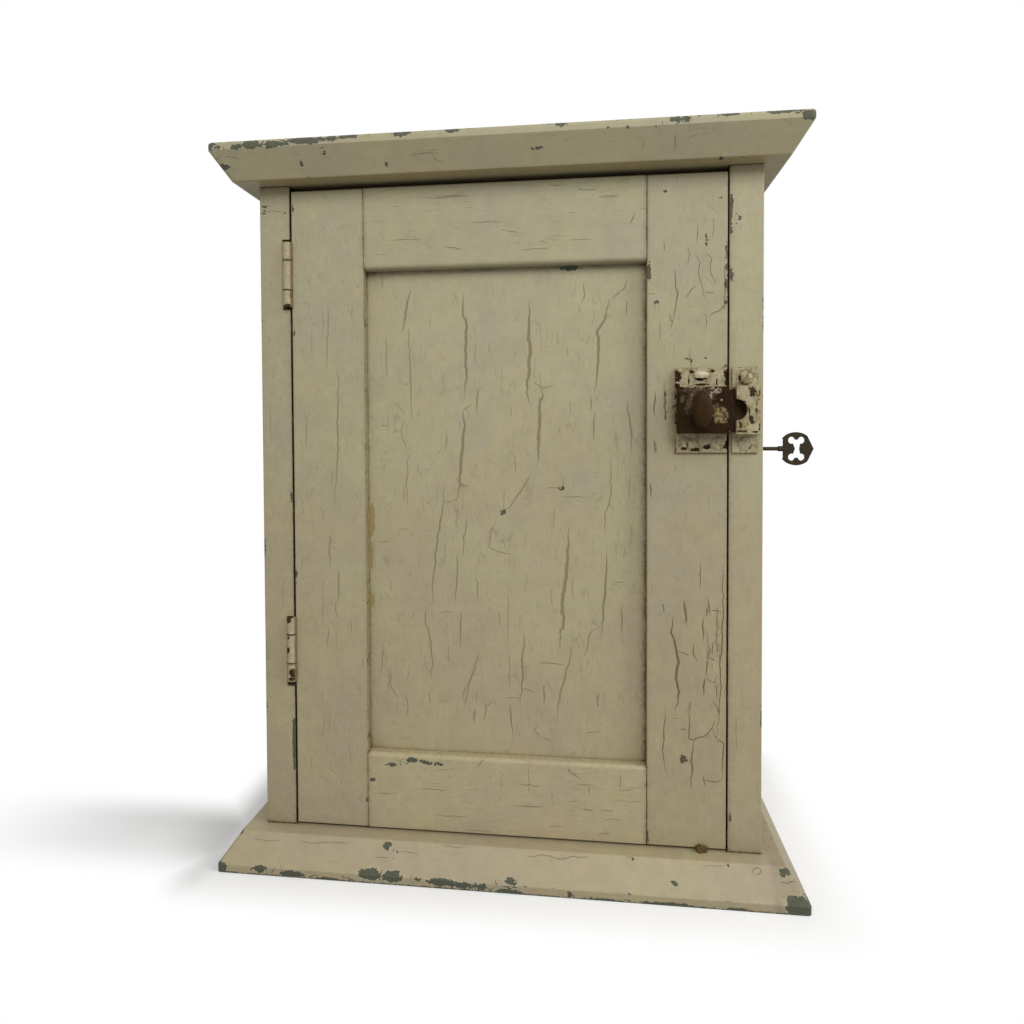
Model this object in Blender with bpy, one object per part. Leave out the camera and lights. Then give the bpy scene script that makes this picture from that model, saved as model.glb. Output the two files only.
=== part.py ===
"""A small painted pine cupboard with one framed and panelled door.

A base board and a top board, both with splayed edges, hold two side boards, a
tongued and grooved back and two loose shelves. The door is framed with mortise
and tenon joints round a loose panel. It hangs on two butt hinges at the left,
shuts with a surface latch at the right, and is locked by a key that enters
through the right side board.

Lengths are in metres. X runs to the right, Y to the back and Z up. The origin
is at the middle of the underside of the base board.
"""
import math

import bmesh
import bpy
from mathutils import Vector

# Whole cabinet
CABINET_HEIGHT = 0.510
CARCASS_WIDTH = 0.350
CARCASS_DEPTH = 0.196
PLANK = 0.0238
SIDE = 0.0225

# Fits and small shapes that every piece shares
FIT = 0.0003
RUNNING = 0.0004
ARRIS = 0.0006
OVERRUN = 0.002
EASE_STEPS = 3
ROUND_SIDES = 32

# Splayed edges of the two planks: how far each line stands out of the carcass
BASE_OVERHANG = 0.0260
BASE_LEDGE = 0.0131
BASE_FILLET = 0.0060
TOP_OVERHANG = 0.0243
TOP_SOFFIT = 0.0142
TOP_FILLET = 0.0088
SPLAY_ARRIS = 0.0009

# Places that follow from the sizes above
HALF = CARCASS_WIDTH / 2
OPENING = HALF - SIDE
BASE_DEPTH = CARCASS_DEPTH + BASE_OVERHANG
FRONT = BASE_OVERHANG - BASE_DEPTH / 2
BACK = BASE_DEPTH / 2
FLOOR = PLANK
SOFFIT = CABINET_HEIGHT - PLANK

# Door
DOOR_THICKNESS = 0.0190
DOOR_GAP_HINGE = 0.0009
DOOR_GAP_LATCH = 0.0006
DOOR_GAP_TOP = 0.0040
DOOR_GAP_BOTTOM = 0.0012
STILE_WIDTH = 0.0530
TOP_RAIL_WIDTH = 0.0577
BOTTOM_RAIL_WIDTH = 0.0545
RAIL_ROUND = 0.0032
CLOSING_BEVEL = 0.0006
GROOVE_DEPTH = 0.0080
GROOVE_SETBACK = 0.0077
PANEL_THICKNESS = 0.0064
PANEL_PLAY = 0.0010
TENON_LENGTH = 0.0320
HAUNCH = 0.0120

DOOR_LEFT = -OPENING + DOOR_GAP_HINGE
DOOR_RIGHT = OPENING - DOOR_GAP_LATCH
DOOR_BOTTOM = FLOOR + DOOR_GAP_BOTTOM
DOOR_TOP = SOFFIT - DOOR_GAP_TOP
DOOR_BACK = FRONT + DOOR_THICKNESS
PANEL_LEFT = DOOR_LEFT + STILE_WIDTH
PANEL_RIGHT = DOOR_RIGHT - STILE_WIDTH
PANEL_BOTTOM = DOOR_BOTTOM + BOTTOM_RAIL_WIDTH
PANEL_TOP = DOOR_TOP - TOP_RAIL_WIDTH
GROOVE_WIDTH = PANEL_THICKNESS + 2 * FIT

# Hinges: the pin's axis, from which both leaves and the door's swing follow
HINGE_LENGTH = 0.046
HINGE_BELOW_TOP = 0.0597
HINGE_ABOVE_BOTTOM = 0.1278
HINGE_AXIS_INSET = 0.0017
HINGE_AXIS_PROUD = 0.0008
HINGE_X = -OPENING - HINGE_AXIS_INSET
HINGE_Y = FRONT - HINGE_AXIS_PROUD
HINGE_HEIGHTS = {"upper": DOOR_TOP - HINGE_BELOW_TOP,
                 "lower": DOOR_BOTTOM + HINGE_ABOVE_BOTTOM}

# Latch: the knob's axis, shared by case, knob and bolt
LATCH_INSET = 0.0194
LATCH_BELOW_TOP = 0.1587
LATCH_X = DOOR_RIGHT - LATCH_INSET
LATCH_Z = DOOR_TOP - LATCH_BELOW_TOP

# Lock: the key's axis, shared by side board, lock, bolt and key
KEY_SETBACK = 0.0380
KEY_BELOW_LATCH = 0.0268
KEY_Y = FRONT + KEY_SETBACK
KEY_Z = LATCH_Z - KEY_BELOW_LATCH

# Finishes: colour, roughness, metallic
PAINT = ((0.35, 0.32, 0.21), 0.55, 0.0)
PAINTED_IRON = ((0.34, 0.29, 0.19), 0.50, 0.1)
BROWN_IRON = ((0.050, 0.026, 0.013), 0.50, 0.6)
STEEL = ((0.10, 0.075, 0.06), 0.45, 0.8)


def clear_scene():
    """Empty the scene that the script is run in."""
    for obj in list(bpy.data.objects):
        bpy.data.objects.remove(obj, do_unlink=True)


def give_finish(obj, finish):
    """Give an object its own Principled material."""
    colour, roughness, metallic = finish
    material = bpy.data.materials.new(obj.name)
    material.use_nodes = True
    shader = material.node_tree.nodes["Principled BSDF"]
    shader.inputs["Base Color"].default_value = (*colour, 1.0)
    shader.inputs["Roughness"].default_value = roughness
    shader.inputs["Metallic"].default_value = metallic
    obj.data.materials.append(material)


def object_from(name, shape):
    """Turn a bmesh into an object with its faces pointing outwards."""
    bmesh.ops.recalc_face_normals(shape, faces=shape.faces)
    mesh = bpy.data.meshes.new(name)
    shape.to_mesh(mesh)
    shape.free()
    obj = bpy.data.objects.new(name, mesh)
    bpy.context.scene.collection.objects.link(obj)
    return obj


def shade_round(obj):
    """Shade the round faces of an object smooth and keep its edges sharp."""
    obj.data.shade_smooth()
    obj.data.set_sharp_from_angle(angle=math.radians(35))


def eased(corners):
    """Outline of corners (u, v, radius), each rounded to its radius."""
    points = []
    for index, (u, v, radius) in enumerate(corners):
        here = Vector((u, v))
        if radius == 0:
            points.append((u, v))
            continue
        before = (Vector(corners[index - 1][:2]) - here).normalized()
        after = (Vector(corners[(index + 1) % len(corners)][:2]) - here).normalized()
        half = math.acos(max(-1.0, min(1.0, before.dot(after)))) / 2
        centre = here + (before + after).normalized() * (radius / math.sin(half))
        start = here + before * (radius / math.tan(half)) - centre
        end = here + after * (radius / math.tan(half)) - centre
        first = math.atan2(start.y, start.x)
        turn = math.atan2(start.x * end.y - start.y * end.x, start.dot(end))
        for step in range(EASE_STEPS + 1):
            angle = first + turn * step / EASE_STEPS
            points.append((centre.x + radius * math.cos(angle),
                           centre.y + radius * math.sin(angle)))
    return points


def arc(centre_u, centre_v, radius, first, last, steps):
    """Points of an arc from the angle first to the angle last, in degrees."""
    points = []
    for step in range(steps + 1):
        angle = math.radians(first + (last - first) * step / steps)
        points.append((centre_u + radius * math.cos(angle),
                       centre_v + radius * math.sin(angle)))
    return points


def circle(centre_u, centre_v, radius, sides=ROUND_SIDES):
    """Outline of a full circle."""
    return arc(centre_u, centre_v, radius, 0, 360, sides)[:-1]


def prism(name, outline, axis, start, end):
    """Extrude an outline along an axis. The outline holds the two other coordinates,
    in the order X, Y, Z."""
    place = {"X": lambda u, v, w: (w, u, v),
             "Y": lambda u, v, w: (u, w, v),
             "Z": lambda u, v, w: (u, v, w)}[axis]
    shape = bmesh.new()
    face = shape.faces.new([shape.verts.new(place(u, v, start)) for u, v in outline])
    grown = bmesh.ops.extrude_face_region(shape, geom=[face])
    moved = [item for item in grown["geom"] if isinstance(item, bmesh.types.BMVert)]
    bmesh.ops.translate(shape, vec=place(0, 0, end - start), verts=moved)
    return object_from(name, shape)


def block(name, low, high, arris=0):
    """Square block between two corners, its edges taken off by arris."""
    shape = bmesh.new()
    bmesh.ops.create_cube(shape, size=1)
    low = Vector(low)
    size = Vector(high) - low
    for vert in shape.verts:
        vert.co = [low[i] + size[i] * (vert.co[i] + 0.5) for i in range(3)]
    if arris > 0:
        bmesh.ops.bevel(shape, geom=shape.edges[:], offset=arris, segments=1, affect="EDGES")
    return object_from(name, shape)


def rod(name, axis, centre, radius, start, end, sides=ROUND_SIDES):
    """Round bar along an axis, its centre given by the two other coordinates."""
    bar = prism(name, circle(*centre, radius, sides), axis, start, end)
    shade_round(bar)
    return bar


def turned(name, profile, origin, axis, sides=ROUND_SIDES):
    """Spin a profile of (distance along the axis, radius) points into a solid. The
    first and the last point lie on the axis."""
    along = Vector({"X": (1, 0, 0), "Y": (0, 1, 0), "Z": (0, 0, 1)}[axis])
    out = Vector({"X": (0, 0, 1), "Y": (0, 0, 1), "Z": (1, 0, 0)}[axis])
    origin = Vector(origin)
    shape = bmesh.new()
    verts = [shape.verts.new(origin + along * w + out * radius) for w, radius in profile]
    edges = [shape.edges.new(pair) for pair in zip(verts, verts[1:])]
    bmesh.ops.spin(shape, geom=verts + edges, cent=origin, axis=along,
                   angle=math.tau, steps=sides, use_merge=True, use_duplicate=False)
    bmesh.ops.remove_doubles(shape, verts=shape.verts, dist=FIT / 100)
    solid = object_from(name, shape)
    shade_round(solid)
    return solid


def hide_tool(tool):
    """Keep a cutter or a joined shape out of the finished model."""
    tool.hide_render = True
    tool.display_type = "WIRE"


def add_boolean(obj, tool, operation):
    """Work one shape into another with a Boolean that stays on the object."""
    modifier = obj.modifiers.new(tool.name, "BOOLEAN")
    modifier.operation = operation
    modifier.solver = "EXACT"
    modifier.object = tool
    hide_tool(tool)


def cut(obj, *tools):
    """Cut each tool out of an object."""
    for tool in tools:
        add_boolean(obj, tool, "DIFFERENCE")


def join(obj, *tools):
    """Make each tool one body with an object."""
    for tool in tools:
        add_boolean(obj, tool, "UNION")


def turn_about(obj, point, parent=None):
    """Put an object's origin on a point, such as its joint's axis, and leave its
    shape where it is. The parent is an empty at that same point."""
    for vert in obj.data.vertices:
        vert.co -= Vector(point)
    if parent is None:
        obj.location = point
    else:
        obj.parent = parent


def joint_axis(name, point):
    """Empty that carries everything which moves about one joint."""
    empty = bpy.data.objects.new(name, None)
    empty.location = point
    bpy.context.scene.collection.objects.link(empty)
    return empty


# Planks with splayed edges

def splayed_plank(name, rings):
    """Loft a plank through level rings of (height, overhang). The overhang is on the
    front and both ends, and the back is flush with the carcass."""
    shape = bmesh.new()
    loops = []
    for height, overhang in rings:
        corners = ((-HALF - overhang, FRONT - overhang), (HALF + overhang, FRONT - overhang),
                   (HALF + overhang, BACK), (-HALF - overhang, BACK))
        verts = [shape.verts.new((x, y, height)) for x, y in corners]
        loops.append([shape.edges.new((verts[i - 1], verts[i])) for i in range(len(verts))])
    for lower, upper in zip(loops, loops[1:]):
        bmesh.ops.bridge_loops(shape, edges=lower + upper)
    for loop in (loops[0], loops[-1]):
        bmesh.ops.contextual_create(shape, geom=loop)
    bmesh.ops.bevel(shape, geom=shape.edges[:], offset=SPLAY_ARRIS, segments=2, affect="EDGES")
    plank = object_from(name, shape)
    shade_round(plank)
    give_finish(plank, PAINT)
    return plank


def build_planks():
    splayed_plank("base_board", ((0, BASE_OVERHANG), (BASE_FILLET, BASE_OVERHANG),
                                 (PLANK, BASE_LEDGE)))
    splayed_plank("top_board", ((SOFFIT, TOP_SOFFIT), (CABINET_HEIGHT - TOP_FILLET, TOP_OVERHANG),
                                (CABINET_HEIGHT, TOP_OVERHANG)))


# Side boards, with a rebate at the back for the lining boards

BACK_THICKNESS = 0.0120
REBATE = 0.0100
BACK_INNER = BACK - BACK_THICKNESS


def side_board(name, side):
    """Side board: side is -1 for the left and 1 for the right."""
    rebate_floor = OPENING + REBATE
    shoulder = BACK_INNER - FIT
    corners = ((side * OPENING, FRONT, ARRIS), (side * HALF, FRONT, ARRIS),
               (side * HALF, BACK, ARRIS), (side * rebate_floor, BACK, 0),
               (side * rebate_floor, shoulder, 0), (side * OPENING, shoulder, 0))
    board = prism(name, eased(corners), "Z", FLOOR + FIT, SOFFIT - FIT)
    give_finish(board, PAINT)
    return board


def build_sides():
    left = side_board("side_left", -1)
    for gain in hinge_gains("side_left"):
        cut(left, *gain)
    right = side_board("side_right", 1)
    cut(right, *keyhole("side_right", OPENING - OVERRUN, HALF + OVERRUN))


# Tongued and grooved back

BACK_BOARDS = 4
TONGUE = 0.0050
TONGUE_THICKNESS = 0.0040
BEAD_CHAMFER = 0.0016


def build_back():
    """Lining boards side by side, each tongue in its neighbour's groove."""
    span = 2 * (OPENING + REBATE - FIT)
    pitch = span / BACK_BOARDS
    tongue_front = BACK - (BACK_THICKNESS + TONGUE_THICKNESS) / 2
    tongue_back = tongue_front + TONGUE_THICKNESS
    for index in range(BACK_BOARDS):
        left = -span / 2 + index * pitch
        right = left + pitch - FIT
        has_groove = index > 0
        has_tongue = index < BACK_BOARDS - 1
        left_chamfer = BEAD_CHAMFER if has_groove else 0
        right_chamfer = BEAD_CHAMFER if has_tongue else 0
        outline = [(left + left_chamfer, BACK_INNER), (right - right_chamfer, BACK_INNER)]
        if has_tongue:
            outline += [(right, BACK_INNER + BEAD_CHAMFER), (right, tongue_front),
                        (right + TONGUE, tongue_front), (right + TONGUE, tongue_back),
                        (right, tongue_back)]
        outline += [(right, BACK), (left, BACK)]
        if has_groove:
            depth = TONGUE + FIT
            outline += [(left, tongue_back + FIT), (left + depth, tongue_back + FIT),
                        (left + depth, tongue_front - FIT), (left, tongue_front - FIT),
                        (left, BACK_INNER + BEAD_CHAMFER)]
        board = prism(f"back_board_{index + 1}", outline, "Z", FLOOR + FIT, SOFFIT - FIT)
        give_finish(board, PAINT)


# Shelves on battens, and the batten that the door shuts against

SHELF_THICKNESS = 0.0120
SHELF_SETBACK = 0.0300
SHELF_ABOVE_FLOOR = 0.1422
SHELF_BELOW_SOFFIT = 0.1482
SHELF_HEIGHTS = {"lower": FLOOR + SHELF_ABOVE_FLOOR, "upper": SOFFIT - SHELF_BELOW_SOFFIT}
BATTEN_HEIGHT = 0.0180
BATTEN_THICKNESS = 0.0120
BATTEN_SETBACK = 0.0640
STOP_HEIGHT = 0.0150
STOP_THICKNESS = 0.0120


def build_shelves():
    """Two loose shelves, each on a batten at both ends."""
    inner = OPENING - FIT
    for level, height in SHELF_HEIGHTS.items():
        shelf = block(f"shelf_{level}", (-inner, FRONT + SHELF_SETBACK, height),
                      (inner, BACK_INNER - FIT, height + SHELF_THICKNESS), ARRIS)
        give_finish(shelf, PAINT)
        for side, word in ((-1, "left"), (1, "right")):
            edges = sorted((side * inner, side * (inner - BATTEN_THICKNESS)))
            batten = block(f"shelf_batten_{level}_{word}",
                           (edges[0], FRONT + BATTEN_SETBACK, height - FIT - BATTEN_HEIGHT),
                           (edges[1], BACK_INNER - FIT, height - FIT), ARRIS)
            give_finish(batten, PAINT)


def build_door_stop():
    inner = OPENING - FIT
    stop = block("door_stop", (-inner, DOOR_BACK + FIT, SOFFIT - FIT - STOP_HEIGHT),
                 (inner, DOOR_BACK + FIT + STOP_THICKNESS, SOFFIT - FIT), ARRIS)
    give_finish(stop, PAINT)


# Door frame and panel

def door_stile(name, inner, outer, bevel=0):
    """Full-height stile with the panel's groove on its inner edge. Its outer edge is
    planed back by bevel, so that the back corner clears the side board."""
    way = 1 if inner > outer else -1
    groove_floor = inner - way * GROOVE_DEPTH
    groove_front = FRONT + GROOVE_SETBACK
    groove_back = groove_front + GROOVE_WIDTH
    corners = ((outer, FRONT, ARRIS), (inner, FRONT, ARRIS), (inner, groove_front, 0),
               (groove_floor, groove_front, 0), (groove_floor, groove_back, 0),
               (inner, groove_back, 0), (inner, DOOR_BACK, ARRIS),
               (outer + way * bevel, DOOR_BACK, ARRIS))
    stile = prism(name, eased(corners), "Z", DOOR_BOTTOM, DOOR_TOP)
    give_finish(stile, PAINT)
    mortise_end = inner - way * (TENON_LENGTH + FIT)
    low_x, high_x = sorted((mortise_end, groove_floor + way * FIT))
    for rail, (low, high) in tenon_spans().items():
        cut(stile, block(f"{name}_mortise_{rail}", (low_x, groove_front, low - FIT),
                         (high_x, groove_back, high + FIT)))
    return stile


def tenon_spans():
    """Lowest and highest point of the tenons on each rail."""
    return {"top": (PANEL_TOP + GROOVE_DEPTH + FIT, DOOR_TOP - HAUNCH),
            "bottom": (DOOR_BOTTOM + HAUNCH, PANEL_BOTTOM - GROOVE_DEPTH - FIT)}


def door_rail(name, rail, inner, outer):
    """Rail between the stiles: grooved and rounded towards the panel, with a haunched
    tenon at both ends."""
    way = 1 if inner > outer else -1
    groove_floor = inner - way * GROOVE_DEPTH
    groove_front = FRONT + GROOVE_SETBACK
    groove_back = groove_front + GROOVE_WIDTH
    corners = ((FRONT, outer, ARRIS), (FRONT, inner, RAIL_ROUND), (groove_front, inner, 0),
               (groove_front, groove_floor, 0), (groove_back, groove_floor, 0),
               (groove_back, inner, 0), (DOOR_BACK, inner, ARRIS), (DOOR_BACK, outer, ARRIS))
    body = prism(name, eased(corners), "X", PANEL_LEFT + FIT, PANEL_RIGHT - FIT)
    give_finish(body, PAINT)
    low, high = tenon_spans()[rail]
    haunch_edge = outer + way * FIT
    tenon_inner, tenon_outer = (high, low) if way > 0 else (low, high)
    for word, side, end in (("left", -1, PANEL_LEFT + FIT), ("right", 1, PANEL_RIGHT - FIT)):
        root = end - side * OVERRUN
        tip = end + side * (TENON_LENGTH - FIT)
        stub = end + side * (GROOVE_DEPTH - 2 * FIT)
        outline = [(root, tenon_inner), (tip, tenon_inner), (tip, tenon_outer),
                   (stub, tenon_outer), (stub, haunch_edge), (root, haunch_edge)]
        join(body, prism(f"{name}_tenon_{word}", outline, "Y", groove_front + FIT,
                         groove_back - FIT))
    return body


def build_door_frame():
    """The five wooden pieces of the door."""
    left = door_stile("door_stile_left", PANEL_LEFT, DOOR_LEFT)
    for mortise in leaf_mortises("door_stile_left", DOOR_LEFT, 1):
        cut(left, mortise)
    right = door_stile("door_stile_right", PANEL_RIGHT, DOOR_RIGHT, CLOSING_BEVEL)
    top = door_rail("door_rail_top", "top", PANEL_TOP, DOOR_TOP)
    bottom = door_rail("door_rail_bottom", "bottom", PANEL_BOTTOM, DOOR_BOTTOM)
    reach = GROOVE_DEPTH - PANEL_PLAY
    panel_front = FRONT + GROOVE_SETBACK + FIT
    panel = block("door_panel",
                  (PANEL_LEFT - reach, panel_front, PANEL_BOTTOM - reach),
                  (PANEL_RIGHT + reach, panel_front + PANEL_THICKNESS, PANEL_TOP + reach))
    give_finish(panel, PAINT)
    return [left, right, top, bottom, panel]


# Butt hinges: leaves let into the side board and the door's edge

LEAF_THICKNESS = 0.0015
LEAF_WIDTH = 0.0168
BARREL_RADIUS = 0.0036
PIN_RADIUS = 0.0015
PIN_BORE = 0.00158
KNUCKLE_GAP = 0.0003
MIDDLE_KNUCKLE = 0.0218
WEB_INNER = 0.0019
WEB_FRONT = 0.0009
NOTCH_ABOVE = {"upper": 0.0026, "lower": 0.0006}
NOTCH_BELOW = {"upper": 0.0016, "lower": 0.0046}


def leaf_mortises(name, edge, way):
    """Shallow recesses for the hinge leaves in an edge whose wood lies towards way."""
    recesses = []
    for level, height in HINGE_HEIGHTS.items():
        low_x, high_x = sorted((edge - way * OVERRUN, edge + way * (LEAF_THICKNESS + FIT)))
        recesses.append(block(f"{name}_mortise_hinge_{level}",
                              (low_x, FRONT - OVERRUN, height - HINGE_LENGTH / 2 - FIT),
                              (high_x, HINGE_Y + LEAF_WIDTH + FIT,
                               height + HINGE_LENGTH / 2 + FIT)))
    return recesses


def hinge_gains(name):
    """For each hinge, the leaf's recess in the side board and the notch that the
    barrel lies in, which is a little longer than the barrel."""
    gains = []
    mortises = leaf_mortises(name, -OPENING, -1)
    clear = BARREL_RADIUS + RUNNING
    for mortise, (level, height) in zip(mortises, HINGE_HEIGHTS.items()):
        low = height - HINGE_LENGTH / 2 - NOTCH_BELOW[level]
        high = height + HINGE_LENGTH / 2 + NOTCH_ABOVE[level]
        notch = block(f"{name}_notch_{level}", (HINGE_X - clear, FRONT - OVERRUN, low),
                      (-OPENING + OVERRUN, HINGE_Y + clear, high))
        gains.append((mortise, notch))
    return gains


def hinge_leaf(name, plate_low, plate_high, knuckles, others):
    """Leaf with its knuckles. The plate lies between plate_low and plate_high in X.
    knuckles are the heights of its own rolls, others are those of the other leaf,
    which the plate keeps clear of."""
    bottom = min(low for low, high in knuckles + others)
    top = max(high for low, high in knuckles + others)
    nearest = max(plate_low - HINGE_X, 0)
    clear = BARREL_RADIUS + RUNNING
    plate_front = HINGE_Y + math.sqrt(clear ** 2 - nearest ** 2)
    leaf = block(name, (plate_low, plate_front, bottom),
                 (plate_high, HINGE_Y + LEAF_WIDTH, top))
    web_low = max(plate_low, HINGE_X + WEB_INNER) if nearest > PIN_BORE else plate_low
    web_front = HINGE_Y + (WEB_FRONT if nearest > PIN_BORE else WEB_INNER)
    for number, (low, high) in enumerate(knuckles):
        join(leaf, block(f"{name}_web_{number}", (web_low, web_front, low),
                         (plate_high, plate_front + FIT, high)))
        join(leaf, rod(f"{name}_roll_{number}", "Z", (HINGE_X, HINGE_Y), BARREL_RADIUS,
                       low, high))
    cut(leaf, rod(f"{name}_bore", "Z", (HINGE_X, HINGE_Y), PIN_BORE,
                  bottom - OVERRUN, top + OVERRUN))
    give_finish(leaf, PAINTED_IRON)
    return leaf


def build_hinges():
    """Two hinges. Returns the pieces that swing with the door."""
    swinging = []
    for level, height in HINGE_HEIGHTS.items():
        bottom = height - HINGE_LENGTH / 2
        top = height + HINGE_LENGTH / 2
        middle = (height - MIDDLE_KNUCKLE / 2, height + MIDDLE_KNUCKLE / 2)
        ends = [(bottom, middle[0] - KNUCKLE_GAP), (middle[1] + KNUCKLE_GAP, top)]
        hinge_leaf(f"hinge_leaf_fixed_{level}", -OPENING - LEAF_THICKNESS, -OPENING,
                   ends, [middle])
        swinging.append(hinge_leaf(f"hinge_leaf_door_{level}", DOOR_LEFT,
                                   DOOR_LEFT + LEAF_THICKNESS, [middle], ends))
        pin = rod(f"hinge_pin_{level}", "Z", (HINGE_X, HINGE_Y), PIN_RADIUS, bottom, top)
        give_finish(pin, STEEL)
    return swinging


# Surface latch on the door

LATCH_PLATE_INSET = 0.0005
LATCH_PLATE_WIDTH = 0.0337
LATCH_PLATE_BELOW = 0.0285
LATCH_PLATE_ABOVE = 0.0277
LATCH_PLATE_THICKNESS = 0.0016
LATCH_CASE_STEP = 0.0005
LATCH_CASE_HEIGHT = 0.0307
LATCH_CASE_PROUD = 0.0120
LATCH_WALL = 0.0017
LATCH_CORNER = 0.0005
SPINDLE_RADIUS = 0.0025
LATCH_PLATE_RIGHT = DOOR_RIGHT - LATCH_PLATE_INSET
LATCH_PLATE_LEFT = LATCH_PLATE_RIGHT - LATCH_PLATE_WIDTH
LATCH_PLATE_LOW = LATCH_Z - LATCH_PLATE_BELOW
LATCH_PLATE_HIGH = LATCH_Z + LATCH_PLATE_ABOVE
LATCH_CASE_LEFT = LATCH_PLATE_LEFT + LATCH_CASE_STEP
LATCH_CASE_RIGHT = LATCH_PLATE_RIGHT - FIT
LATCH_INNER = FRONT - LATCH_CASE_PROUD + LATCH_WALL
LATCH_LOW = LATCH_Z - LATCH_CASE_HEIGHT / 2
LATCH_HIGH = LATCH_Z + LATCH_CASE_HEIGHT / 2


def build_latch_case():
    """Plate and hollow case cast in one, open at the back and towards the keep."""
    plate = block("latch_case", (LATCH_PLATE_LEFT, FRONT - FIT - LATCH_PLATE_THICKNESS,
                                 LATCH_PLATE_LOW),
                  (LATCH_PLATE_RIGHT, FRONT - FIT, LATCH_PLATE_HIGH), LATCH_CORNER)
    join(plate, block("latch_case_body", (LATCH_CASE_LEFT, FRONT - LATCH_CASE_PROUD, LATCH_LOW),
                      (LATCH_CASE_RIGHT, FRONT - 2 * FIT, LATCH_HIGH), LATCH_CORNER))
    cut(plate,
        block("latch_case_hollow",
              (LATCH_CASE_LEFT + LATCH_WALL, LATCH_INNER, LATCH_LOW + LATCH_WALL),
              (LATCH_CASE_RIGHT + OVERRUN, FRONT + OVERRUN, LATCH_HIGH - LATCH_WALL)),
        rod("latch_case_spindle_hole", "Y", (LATCH_X, LATCH_Z), SPINDLE_RADIUS + FIT,
            FRONT - LATCH_CASE_PROUD - OVERRUN, LATCH_INNER + OVERRUN))
    for name, (x, z) in LATCH_SCREWS.items():
        cut(plate, rod(f"{name}_hole", "Y", (x, z), SCREW_SHANK + FIT,
                       FRONT - LATCH_PLATE_THICKNESS - OVERRUN, FRONT + OVERRUN))
    give_finish(plate, BROWN_IRON)
    return plate


KNOB_HALF_WIDTH = 0.0061
KNOB_HALF_HEIGHT = 0.0119
KNOB_PROUD = 0.0245
KNOB_THICKNESS = 0.0074
KNOB_EDGE = 0.0024
NECK_RADIUS = 0.0034
COLLAR_RADIUS = 0.0048
COLLAR_THICKNESS = 0.0009
CRANK_THROW = 0.0090
CRANK_HALF_WIDTH = 0.0021
CRANK_THICKNESS = 0.0024
CRANK_PIN_RADIUS = 0.0013
BOLT_TAIL_THICKNESS = 0.0035


def build_latch_knob():
    """Oval knob, its neck and spindle, and the crank that drives the bolt, riveted
    into one piece. It turns about the spindle."""
    centre = (LATCH_X, 0, LATCH_Z)
    knob_front = FRONT - KNOB_PROUD
    knob_back = knob_front + KNOB_THICKNESS
    case_front = FRONT - LATCH_CASE_PROUD
    tail_back = LATCH_INNER + RUNNING + BOLT_TAIL_THICKNESS
    crank_front = tail_back + RUNNING
    crank_back = crank_front + CRANK_THICKNESS
    dome = KNOB_THICKNESS - KNOB_EDGE
    profile = [(knob_front, 0)]
    profile += [(knob_back - KNOB_EDGE - dome * math.cos(math.radians(angle)),
                 KNOB_HALF_HEIGHT * math.sin(math.radians(angle)))
                for angle in (20, 40, 55, 70, 80, 90)]
    profile += [(knob_back - KNOB_EDGE / 3, KNOB_HALF_HEIGHT - KNOB_EDGE / 3),
                (knob_back, KNOB_HALF_HEIGHT - KNOB_EDGE), (knob_back, 0)]
    knob = turned("latch_knob", profile, centre, "Y")
    for vert in knob.data.vertices:
        vert.co.x = LATCH_X + (vert.co.x - LATCH_X) * KNOB_HALF_WIDTH / KNOB_HALF_HEIGHT
    stem = [(knob_back - KNOB_EDGE, 0), (knob_back - KNOB_EDGE, NECK_RADIUS),
            (case_front - FIT - COLLAR_THICKNESS, NECK_RADIUS),
            (case_front - FIT - COLLAR_THICKNESS, COLLAR_RADIUS),
            (case_front - FIT, COLLAR_RADIUS), (case_front - FIT, SPINDLE_RADIUS),
            (crank_back, SPINDLE_RADIUS), (crank_back, 0)]
    join(knob, turned("latch_knob_stem", stem, centre, "Y"))
    outline = arc(LATCH_X, LATCH_Z + CRANK_THROW, CRANK_HALF_WIDTH, 0, 180, 8)
    outline += [(LATCH_X - CRANK_HALF_WIDTH, LATCH_Z), (LATCH_X + CRANK_HALF_WIDTH, LATCH_Z)]
    join(knob, prism("latch_knob_crank", outline, "Y", crank_front, crank_back - FIT))
    join(knob, rod("latch_knob_pin", "Y", (LATCH_X, LATCH_Z + CRANK_THROW), CRANK_PIN_RADIUS,
                   LATCH_INNER + 2 * RUNNING, crank_front + FIT, 16))
    give_finish(knob, BROWN_IRON)
    return knob


LATCH_TRAVEL = 0.0074
NOSE_REACH = 0.0224
NOSE_LENGTH = 0.0119
NOSE_CHAMFER = 0.0042
NOSE_THICKNESS = 0.0076
BOLT_PLAY = 0.0004
TAIL_REACH = 0.0122
TAIL_BELOW = 0.0105
TAIL_ABOVE = 0.0125
SPINDLE_PLAY = 0.0004
CRANK_SLOT_PLAY = 0.0005
CRANK_SLOT_LENGTH = 0.0080
NOSE_END = LATCH_X + NOSE_REACH
TAIL_LOW = LATCH_Z - TAIL_BELOW


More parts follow.
